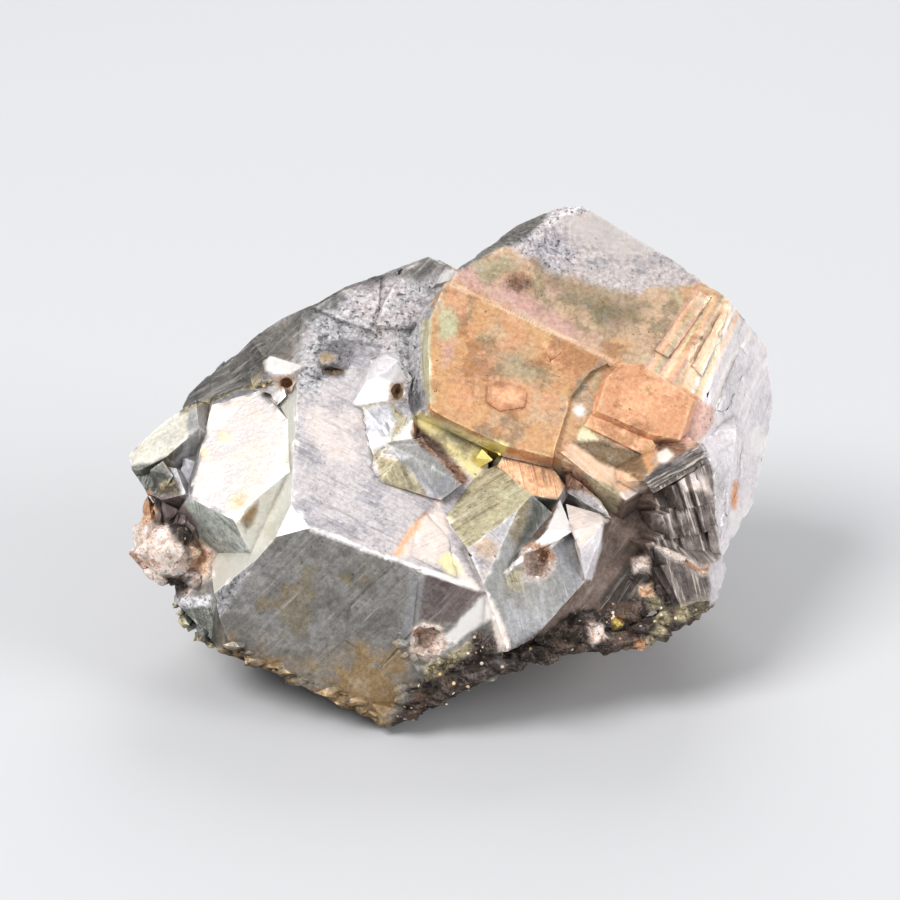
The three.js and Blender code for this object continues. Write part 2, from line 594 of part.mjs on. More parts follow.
// Crystals that grew on the far side.
function backCrystals() {
  return [
    crystal(
      facing(176, 24, new THREE.Vector3(-7, 11.5, 15)),
      facing(262, 30, new THREE.Vector3(-11, 9, 15)),
      facing(98, 22, new THREE.Vector3(-3.5, 9, 15)),
      facing(190, -38, new THREE.Vector3(-7, 10, 9)),
      facing(0, 82, new THREE.Vector3(-7, 8, 18.5)),
      facing(0, 0, new THREE.Vector3(-7, 2, 14)),
      facing(230, -4, new THREE.Vector3(-10.6, 10.6, 14)),
      facing(0, -90, new THREE.Vector3(0, 0, 4)),
    ),
    crystal(
      facing(150, 16, new THREE.Vector3(10, 12, 8)),
      facing(60, 8, new THREE.Vector3(14.5, 6, 7)),
      facing(105, -20, new THREE.Vector3(14.6, 8, 7)),
      facing(222, 6, new THREE.Vector3(5, 12, 8)),
      facing(0, 74, new THREE.Vector3(10, 10, 13)),
      facing(186, -30, new THREE.Vector3(10, 12, 5)),
      facing(0, 0, new THREE.Vector3(9, 2, 8)),
      facing(270, 0, new THREE.Vector3(3, 8, 8)),
      facing(0, -90, new THREE.Vector3(0, 0, 2.5)),
    ),
    chunk(new THREE.Vector3(1, 10.6, 6), 3.2, 2.6, 2.4, 71),
    chunk(new THREE.Vector3(-13.5, 4, 7.5), 2.6, 2.4, 2.8, 73),
    chunk(new THREE.Vector3(16.2, 2, 6), 2.2, 2.4, 2.6, 75),
  ];
}

// Growth steps on the far side; their outlines are on the sheet as well.
function backSteps() {
  return [
    block(RIGHT_BACK, 0.4, 1.5, [[490, 330], [560, 290], [640, 320], [656, 420], [570, 450], [500, 400]], 62),
    block(RIGHT_BACK, 0.75, 1.5, [[520, 345], [585, 318], [622, 350], [616, 400], [560, 420]], 58),
    block(RIGHT_BACK, 0.3, 1, [[470, 318], [478, 308], [486, 380], [480, 388]], 70),
    block(LEFT_BACK, 0.45, 1.2, [[300, 330], [362, 300], [404, 340], [372, 392], [312, 390]], 60),
    block(LEFT_BACK, 0.8, 1.2, [[322, 340], [360, 322], [382, 346], [352, 374]], 56),
  ];
}

// Broken chunks round the foot, from one side past the back to the other.
const FOOT_CHUNKS = 10;
const FOOT_RADIUS = [12.2, 7.6];

function footChunks() {
  const round = Array.from({ length: FOOT_CHUNKS }, (_, i) => {
    const angle = Math.PI * (0.02 + 0.96 * (i + 0.3 * Math.sin(3 * i)) / (FOOT_CHUNKS - 1));
    const size = 1.7 + 0.5 * Math.sin(2.1 * i + 1);
    const x = FOOT_RADIUS[0] * Math.cos(angle);
    const y = 3 + FOOT_RADIUS[1] * Math.sin(angle);
    return chunk(new THREE.Vector3(x, y, 1.9 + 0.7 * Math.sin(4.7 * i)), size * 1.2, size, size, 101 + i);
  });
  const front = [[4.6, -2.6], [8, -1.8], [11, -0.4]].map(([x, y], i) => (
    chunk(new THREE.Vector3(x, y, 1.2), 2.1, 1.5, 1.9, 121 + i)
  ));
  return [...round, ...front];
}

const added = [
  leftCrystal(),
  whiteCrystal(),
  root(),
  ...backCrystals(),
  ...backSteps(),
  ...footChunks(),
  ...darkRoot(),
  ...wedgeCrystal(),
  ...leftSteps(),
  ...leftEnd(),
  ...crust(),
];
let cluster = rightCrystal().subtract(rightRecess());
[...rightSteps(), ...added].forEach((piece) => {
  cluster = cluster.add(piece);
});
hollows().forEach((hollow) => {
  cluster = cluster.subtract(hollow);
});
const below = solid(new THREE.BoxGeometry(80, 80, 10).translate(0, 0, FLOOR - 5));
cluster = cluster.subtract(below);
const pieces = cluster.decompose().sort((a, b) => b.volume() - a.volume());
cluster = pieces[0];

const result = cluster.getMesh();
const geometry = new THREE.BufferGeometry();
geometry.setAttribute("position", new THREE.BufferAttribute(new Float32Array(result.vertProperties), 3));
geometry.setIndex(new THREE.BufferAttribute(new Uint32Array(result.triVerts), 1));
geometry.translate(-FOOT.x, -FOOT.y, -FOOT.z);
const pyrite = new THREE.MeshStandardMaterial({ color: 0xc8b48a, metalness: 0.8, roughness: 0.4 });
const mesh = new THREE.Mesh(geometry, pyrite);
mesh.name = "pyrite_cluster";
const group = new THREE.Group();
group.add(mesh);
export default group;
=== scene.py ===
"""Looks of a pyrite crystal cluster: fine mesh, tarnish colours, crust and studio."""
import math

import bmesh
import bpy
import numpy as np
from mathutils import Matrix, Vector, kdtree
from mathutils.bvhtree import BVHTree


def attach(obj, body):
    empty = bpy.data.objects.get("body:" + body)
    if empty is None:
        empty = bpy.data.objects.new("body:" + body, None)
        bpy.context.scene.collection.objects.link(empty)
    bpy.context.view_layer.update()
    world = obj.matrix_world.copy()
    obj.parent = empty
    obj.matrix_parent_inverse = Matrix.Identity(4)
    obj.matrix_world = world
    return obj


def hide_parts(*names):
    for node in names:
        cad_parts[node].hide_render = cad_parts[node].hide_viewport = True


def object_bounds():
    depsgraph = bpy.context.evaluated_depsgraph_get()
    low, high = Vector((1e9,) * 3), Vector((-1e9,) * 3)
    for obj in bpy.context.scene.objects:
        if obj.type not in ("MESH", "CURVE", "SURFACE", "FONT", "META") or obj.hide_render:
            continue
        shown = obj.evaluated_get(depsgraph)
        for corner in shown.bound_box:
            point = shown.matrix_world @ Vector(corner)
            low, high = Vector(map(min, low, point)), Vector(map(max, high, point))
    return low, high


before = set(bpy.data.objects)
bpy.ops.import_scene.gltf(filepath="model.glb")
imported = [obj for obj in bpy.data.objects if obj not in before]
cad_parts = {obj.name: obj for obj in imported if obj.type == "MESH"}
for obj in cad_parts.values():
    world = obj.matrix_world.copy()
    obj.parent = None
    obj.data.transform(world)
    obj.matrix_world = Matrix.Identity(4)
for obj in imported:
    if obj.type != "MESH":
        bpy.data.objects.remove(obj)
cad_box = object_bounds()

# The sheet: a fixed front view of the cluster. Positions on it are across and
# down in sheet units; near is the distance towards the viewer in millimetres.
UNIT_MM = 0.0645
VIEW_DISTANCE_MM = 154.8
LOOK_DOWN = math.radians(28)
SHEET_MIDDLE = 450
MIDDLE_MM = np.array([-0.29, -0.31, 14.1])
RIGHT = np.array([1.0, 0.0, 0.0])
UP = np.array([0.0, math.sin(LOOK_DOWN), math.cos(LOOK_DOWN)])
NEAR = np.array([0.0, -math.cos(LOOK_DOWN), math.sin(LOOK_DOWN)])
EYE_MM = MIDDLE_MM + NEAR * VIEW_DISTANCE_MM

# Longest edge of the fine mesh, on the near and on the far side. What faces the
# viewer at least as much as FACING_LEAST counts as near. Two faces that meet at
# a smaller angle than FLAT_DEGREES are one facet, and at a larger one than
# SHARP_DEGREES they have a crisp edge between them.
NEAR_EDGE_MM = 0.31
FAR_EDGE_MM = 0.85
FACING_LEAST = -0.05
FLAT_DEGREES = 0.4
SHARP_DEGREES = 5
WELD_METRES = 1e-6
SPLIT_ROUNDS = 10


def sheet_position(points_mm):
    """Across and down on the sheet of each point."""
    local = points_mm - MIDDLE_MM
    scale = VIEW_DISTANCE_MM / (VIEW_DISTANCE_MM - local @ NEAR) / UNIT_MM
    return np.stack([SHEET_MIDDLE + local @ RIGHT * scale, SHEET_MIDDLE - local @ UP * scale], axis=1)


def sight(across, down):
    """Direction from the eye through a sheet position."""
    target = MIDDLE_MM + RIGHT * (across - SHEET_MIDDLE) * UNIT_MM + UP * (SHEET_MIDDLE - down) * UNIT_MM
    direction = target - EYE_MM
    return direction / np.linalg.norm(direction)


def smooth_step(low, high, value):
    """Zero below low, one above high, and smooth between them."""
    t = np.clip((value - low) / (high - low), 0, 1)
    return t * t * (3 - 2 * t)


# Odd numbers that scramble whole-number cells, and the width of a word.
SCRAMBLE = (374761393, 668265263, 2147483647)
SCRAMBLE_AGAIN = 1274126177
WORD = 0xFFFFFFFF
HALF_WORD = 0xFFFF


def lattice(cell):
    """A fixed pseudo-random number from 0 to 1 for each whole-number cell."""
    x, y, z = (cell[:, k].astype(np.int64) * SCRAMBLE[k] for k in range(3))
    mixed = (x + y + z) & WORD
    mixed = ((mixed ^ (mixed >> 13)) * SCRAMBLE_AGAIN) & WORD
    return ((mixed ^ (mixed >> 16)) & HALF_WORD) / HALF_WORD


def noise(points, size, octaves=3):
    """Smooth noise from -1 to 1 with features of about the given size."""
    total = np.zeros(len(points))
    strength = 1.0
    norm = 0.0
    for octave in range(octaves):
        p = points / size * 2 ** octave + 17.3 * octave
        cell = np.floor(p)
        f = p - cell
        f = f * f * (3 - 2 * f)
        value = np.zeros(len(points))
        for corner in range(8):
            step = np.array([corner & 1, corner >> 1 & 1, corner >> 2 & 1])
            weight = np.prod(np.where(step == 1, f, 1 - f), axis=1)
            value += weight * lattice(cell + step)
        total += strength * (value * 2 - 1)
        norm += strength
        strength *= 0.5
    return total / norm


def polygon_distance(points, polygon):
    """Distance to the polygon's outline, below zero inside it."""
    polygon = np.array(polygon, dtype=float)
    best = np.full(len(points), 1e9)
    inside = np.zeros(len(points), dtype=bool)
    for a, b in zip(polygon, np.roll(polygon, -1, axis=0)):
        edge = b - a
        to = points - a
        t = np.clip(to @ edge / (edge @ edge), 0, 1)
        best = np.minimum(best, np.hypot(*(to - t[:, None] * edge).T))
        crosses = (a[1] > points[:, 1]) != (b[1] > points[:, 1])
        if a[1] != b[1]:
            at = a[0] + (points[:, 1] - a[1]) / (b[1] - a[1]) * edge[0]
            inside ^= crosses & (points[:, 0] < at)
    return np.where(inside, -best, best)


def fine_mesh(source):
    """The solid's own faces, cut into small triangles, finer on the near side."""
    bm = bmesh.new()
    bm.from_mesh(source.data)
    bmesh.ops.remove_doubles(bm, verts=bm.verts, dist=WELD_METRES)
    bmesh.ops.dissolve_limit(bm, angle_limit=math.radians(FLAT_DEGREES), verts=bm.verts, edges=bm.edges)
    bmesh.ops.triangulate(bm, faces=bm.faces, quad_method="BEAUTY", ngon_method="BEAUTY")
    near = Vector(NEAR)
    for face in bm.faces:
        face.smooth = True
    for edge in bm.edges:
        edge.smooth = edge.is_manifold and edge.calc_face_angle(0) < math.radians(SHARP_DEGREES)

    def too_long(edge):
        seen = any(face.normal.dot(near) > FACING_LEAST for face in edge.link_faces)
        return edge.calc_length() * 1000 > (NEAR_EDGE_MM if seen else FAR_EDGE_MM)

    for _ in range(SPLIT_ROUNDS):
        bm.normal_update()
        long = [e for e in bm.edges if too_long(e)]
        if not long:
            break
        bmesh.ops.subdivide_edges(bm, edges=long, cuts=1)
        bmesh.ops.triangulate(bm, faces=[f for f in bm.faces if len(f.verts) > 3])
    mesh = bpy.data.meshes.new("pyrite")
    bm.to_mesh(mesh)
    bm.free()
    return mesh


def read(collection, name, width, kind=float):
    """A value of every element of a mesh collection, one row each."""
    flat = np.empty(len(collection) * width, dtype=kind)
    collection.foreach_get(name, flat)
    return flat.reshape(-1, width)


# Palette, in the usual 0 to 255 screen values.
WHITE = (255, 250, 245)
SNOW = (240, 234, 230)
MILK = (213, 204, 200)
DOVE = (200, 190, 187)
BLUSH = (246, 230, 219)
PALE_LILAC = (222, 215, 217)
LILAC = (207, 199, 199)
BLUE_GREY = (134, 134, 146)
ASH = (156, 153, 160)
MIST = (186, 184, 186)
HAZE = (154, 153, 150)
FOG = (146, 145, 146)
PEWTER = (188, 193, 183)
STEEL = (142, 139, 134)
SLATE = (112, 108, 102)
MOSSY_GREY = (84, 86, 78)
CHARCOAL = (62, 60, 60)
CREAM = (226, 223, 211)
STONE = (203, 199, 186)
BUTTER = (255, 245, 208)
PEACH = (250, 213, 180)
SAND = (181, 169, 136)
STRAW = (190, 168, 120)
LEMON = (255, 240, 180)
OCHRE = (156, 130, 92)
OLIVE = (138, 126, 100)
MOSS = (136, 112, 82)
DRAB = (180, 165, 134)
TAN = (211, 178, 146)
ORANGE = (218, 168, 120)
RUST = (230, 168, 126)
CORAL = (254, 198, 154)
SIENNA = (176, 122, 82)
ROSE = (214, 172, 158)
MINT = (204, 198, 162)
GOLD = (240, 214, 110)
MAROON = (126, 112, 108)
UMBER = (130, 110, 99)
STAIN_AND_GROOVE_SHADE = (140, 104, 82)
BARK = (60, 50, 45)
LOAM = (102, 82, 69)
VEIN = (218, 205, 194)
COAL = (116, 104, 99)
FLINT = (98, 93, 90)

# Finishes: roughness, dark specks, streaks and stains, each from 0 to 1.
POLISHED = (0.32, 0.05, 0.08, 0.30)
SATIN = (0.38, 0.22, 0.30, 0.50)
STRIATED = (0.40, 0.42, 0.85, 0.60)
RULED = (0.40, 0.36, 0.55, 0.55)
BRUSHED = (0.40, 0.38, 0.42, 0.75)
GRAINY = (0.48, 0.95, 0.35, 0.85)
DUSTY = (0.46, 0.60, 0.25, 0.70)
TARNISH = (0.39, 0.34, 0.14, 0.80)
GLOSSY = (0.28, 0.18, 0.45, 0.55)
LAMINATED = (0.36, 0.20, 1.00, 0.25)
CRUSTY = (0.62, 0.75, 0.00, 0.95)

# Looks: colour, stain colour and finish.
LOOKS = {
    "white": (WHITE, SNOW, POLISHED),
    "snow": (SNOW, BLUSH, POLISHED),
    "milk": (MILK, PEACH, POLISHED),
    "blush": (BLUSH, LILAC, SATIN),
    "cream": (CREAM, SAND, POLISHED),
    "stone": (STONE, STRAW, SATIN),
    "butter": (BUTTER, GOLD, POLISHED),
    "lilac": (LILAC, BLUE_GREY, RULED),
    "pale_lilac": (PALE_LILAC, MIST, SATIN),
    "mist": (MIST, BLUE_GREY, SATIN),
    "haze": (HAZE, BLUE_GREY, SATIN),
    "speckled": (FOG, SLATE, GRAINY),
    "grey_top": (LILAC, ASH, GRAINY),
    "dusty": (DOVE, ASH, DUSTY),
    "pewter": (PEWTER, SLATE, STRIATED),
    "rim": (MIST, CHARCOAL, GRAINY),
    "dark_rim": (SLATE, CHARCOAL, GRAINY),
    "dark_striated": (SLATE, CHARCOAL, STRIATED),
    "steel": (STEEL, SLATE, BRUSHED),
    "slate": (SLATE, OLIVE, SATIN),
    "mossy": (MOSSY_GREY, CHARCOAL, GLOSSY),
    "sand": (SAND, OLIVE, STRIATED),
    "lemon": (LEMON, DRAB, TARNISH),
    "ochre": (OCHRE, STEEL, TARNISH),
    "olive": (OLIVE, OCHRE, TARNISH),
    "moss": (MOSS, BARK, TARNISH),
    "drab": (DRAB, MOSS, TARNISH),
    "peach": (PEACH, RUST, SATIN),
    "tan": (TAN, OLIVE, TARNISH),
    "orange": (ORANGE, SIENNA, TARNISH),
    "striped_coral": (CORAL, SIENNA, STRIATED),
    "rust": (RUST, SIENNA, TARNISH),
    "coral": (CORAL, SIENNA, TARNISH),
    "rose": (ROSE, TAN, TARNISH),
    "mint": (MINT, STRAW, TARNISH),
    "gold": (GOLD, BUTTER, POLISHED),
    "maroon": (MAROON, CHARCOAL, GLOSSY),
    "bark": (BARK, LOAM, GLOSSY),
    "umber": (UMBER, BARK, GLOSSY),
    "stain_and_groove_shade": (STAIN_AND_GROOVE_SHADE, BARK, GRAINY),
    "laminated": (COAL, VEIN, LAMINATED),
    "flake": (FLINT, VEIN, LAMINATED),
    "pink_crust": (BLUSH, SIENNA, CRUSTY),
    "peach_crust": (PEACH, SIENNA, CRUSTY),
    "tan_crust": (SAND, BARK, CRUSTY),
    "ochre_crust": (OCHRE, BARK, CRUSTY),
    "bark_crust": (BARK, LOAM, CRUSTY),
    "gold_crust": (GOLD, SIENNA, CRUSTY),
}

# Regions: the look of all that lies in an outline on the sheet.
REGIONS = [
    ("slate", [(120, 430), (200, 395), (190, 500), (240, 560), (226, 656), (160, 640), (115, 560)]),
    ("tan", [(448, 262), (568, 192), (612, 198), (706, 272), (738, 305), (704, 400), (640, 474), (560, 474),
        (426, 424), (422, 318)]),
    ("pale_lilac", [(738, 300), (795, 350), (785, 410), (748, 540), (722, 562), (700, 500), (701, 404)]),
    ("orange", [(448, 278), (480, 294), (612, 360), (597, 375), (579, 391), (564, 436), (558, 464),
        (500, 452), (427, 416), (423, 345), (434, 300)]),
    ("rust", [(594, 414), (601, 376), (620, 358), (648, 360), (700, 398), (693, 420), (684, 446), (652, 439),
        (642, 456), (596, 446), (581, 426)]),
    ("lilac", [(292, 300), (430, 252), (458, 272), (432, 300), (427, 410), (441, 500), (491, 600), (400, 567),
        (310, 531), (287, 505), (292, 400)]),
    ("steel", [(220, 642), (226, 600), (266, 543), (310, 525), (420, 569), (500, 602), (502, 670), (390, 738),
        (218, 662)]),
    ("umber", [(500, 672), (560, 630), (600, 560), (612, 508), (650, 474), (712, 444), (724, 560), (722, 612),
        (640, 658), (500, 692)]),
]

# Facets: a sheet position on each, its look, and two positions that a growth
# line of it runs through. Each look holds the facet's tarnish together with its
# painted brightness: painted reflections of the lamp on the bright facets and
# painted shade on the dim ones.
FACETS = [
    ((370, 480), "lilac", ((300, 440), (420, 500))),
    ((330, 590), "steel", ((250, 640), (330, 560))),
    ((235, 455), "milk", None),
    ((186, 455), "haze", ((190, 410), (180, 495))),
    ((212, 522), "pewter", ((190, 500), (235, 545))),
    ((250, 515), "cream", None),
    ((280, 470), "cream", ((292, 420), (280, 520))),
    ((292, 440), "cream", ((292, 420), (292, 500))),
    ((292, 522), "white", None),
    ((240, 575), "speckled", ((262, 548), (225, 607))),
    ((160, 445), "stone", ((131, 460), (190, 425))),
    ((620, 240), "tan", ((540, 300), (640, 330))),
    ((500, 420), "orange", ((450, 284), (608, 363))),
    ((640, 410), "rust", ((608, 365), (690, 400))),
    ((620, 432), "coral", None),
    ((600, 470), "peach", None),
    ((530, 475), "striped_coral", ((508, 450), (516, 482))),
    ((715, 345), "peach", ((730, 303), (690, 370))),
    ((750, 440), "pale_lilac", ((755, 330), (730, 400))),
    ((485, 515), "sand", ((455, 540), (530, 497))),
    ((500, 600), "haze", ((505, 573), (520, 640))),
    ((545, 600), "haze", ((530, 500), (560, 618))),
    ((385, 610), "steel", ((250, 640), (330, 560))),
    ((620, 570), "umber", ((680, 482), (600, 600))),
]

# Growth lines over several facets: an outline, and two positions on a line.
LINES = [
    ([(252, 330), (440, 250), (456, 270), (390, 300), (300, 372), (262, 370)], ((260, 372), (330, 300))),
    ([(176, 412), (212, 368), (252, 336), (268, 344), (262, 368), (212, 400)], ((190, 408), (262, 348))),
    ([(640, 484), (660, 462), (704, 443), (709, 458), (682, 475), (656, 492)], ((645, 482), (703, 449))),
    ([(655, 488), (708, 456), (724, 560), (720, 612), (676, 614), (646, 545)], ((690, 500), (702, 545))),
    ([(500, 672), (560, 640), (640, 606), (680, 612), (640, 660), (500, 690)], ((520, 662), (600, 618))),
    ([(134, 494), (200, 494), (206, 548), (160, 536), (132, 536)], ((146, 498), (152, 534))),
]

# Tarnish clouds on a facet: a sheet position on it, look, size in millimetres,
# how common they are and how strong.
CLOUDS = [
    ((370, 480), "mist", 3.4, 0.05, 0.45),
    ((370, 480), "blush", 2.6, 0.20, 0.50),
    ((330, 590), "slate", 3.2, 0.05, 0.75),
    ((330, 590), "olive", 2.2, 0.10, 0.65),
    ((330, 590), "haze", 1.3, 0.22, 0.60),
    ((330, 590), "mossy", 1.7, 0.20, 0.38),
    ((235, 455), "blush", 2.4, 0.05, 0.60),
    ((620, 240), "drab", 2.8, 0.02, 0.70),
    ((620, 240), "rose", 1.9, 0.22, 0.60),
    ((620, 240), "orange", 3.1, 0.12, 0.70),
    ((620, 240), "mint", 1.3, 0.34, 0.45),
    ((500, 420), "tan", 2.5, 0.12, 0.60),
    ((500, 420), "rust", 1.7, 0.14, 0.60),
    ((500, 420), "ochre", 1.5, 0.34, 0.50),
    ((640, 410), "coral", 1.6, 0.10, 0.60),
    ((715, 345), "snow", 1.2, 0.15, 0.60),
    ((750, 440), "snow", 3.0, 0.15, 0.50),
    ((485, 515), "mint", 1.8, 0.10, 0.50),
    ((545, 600), "mist", 1.9, 0.10, 0.70),
    ((620, 570), "bark_crust", 1.6, 0.36, 0.60),
]

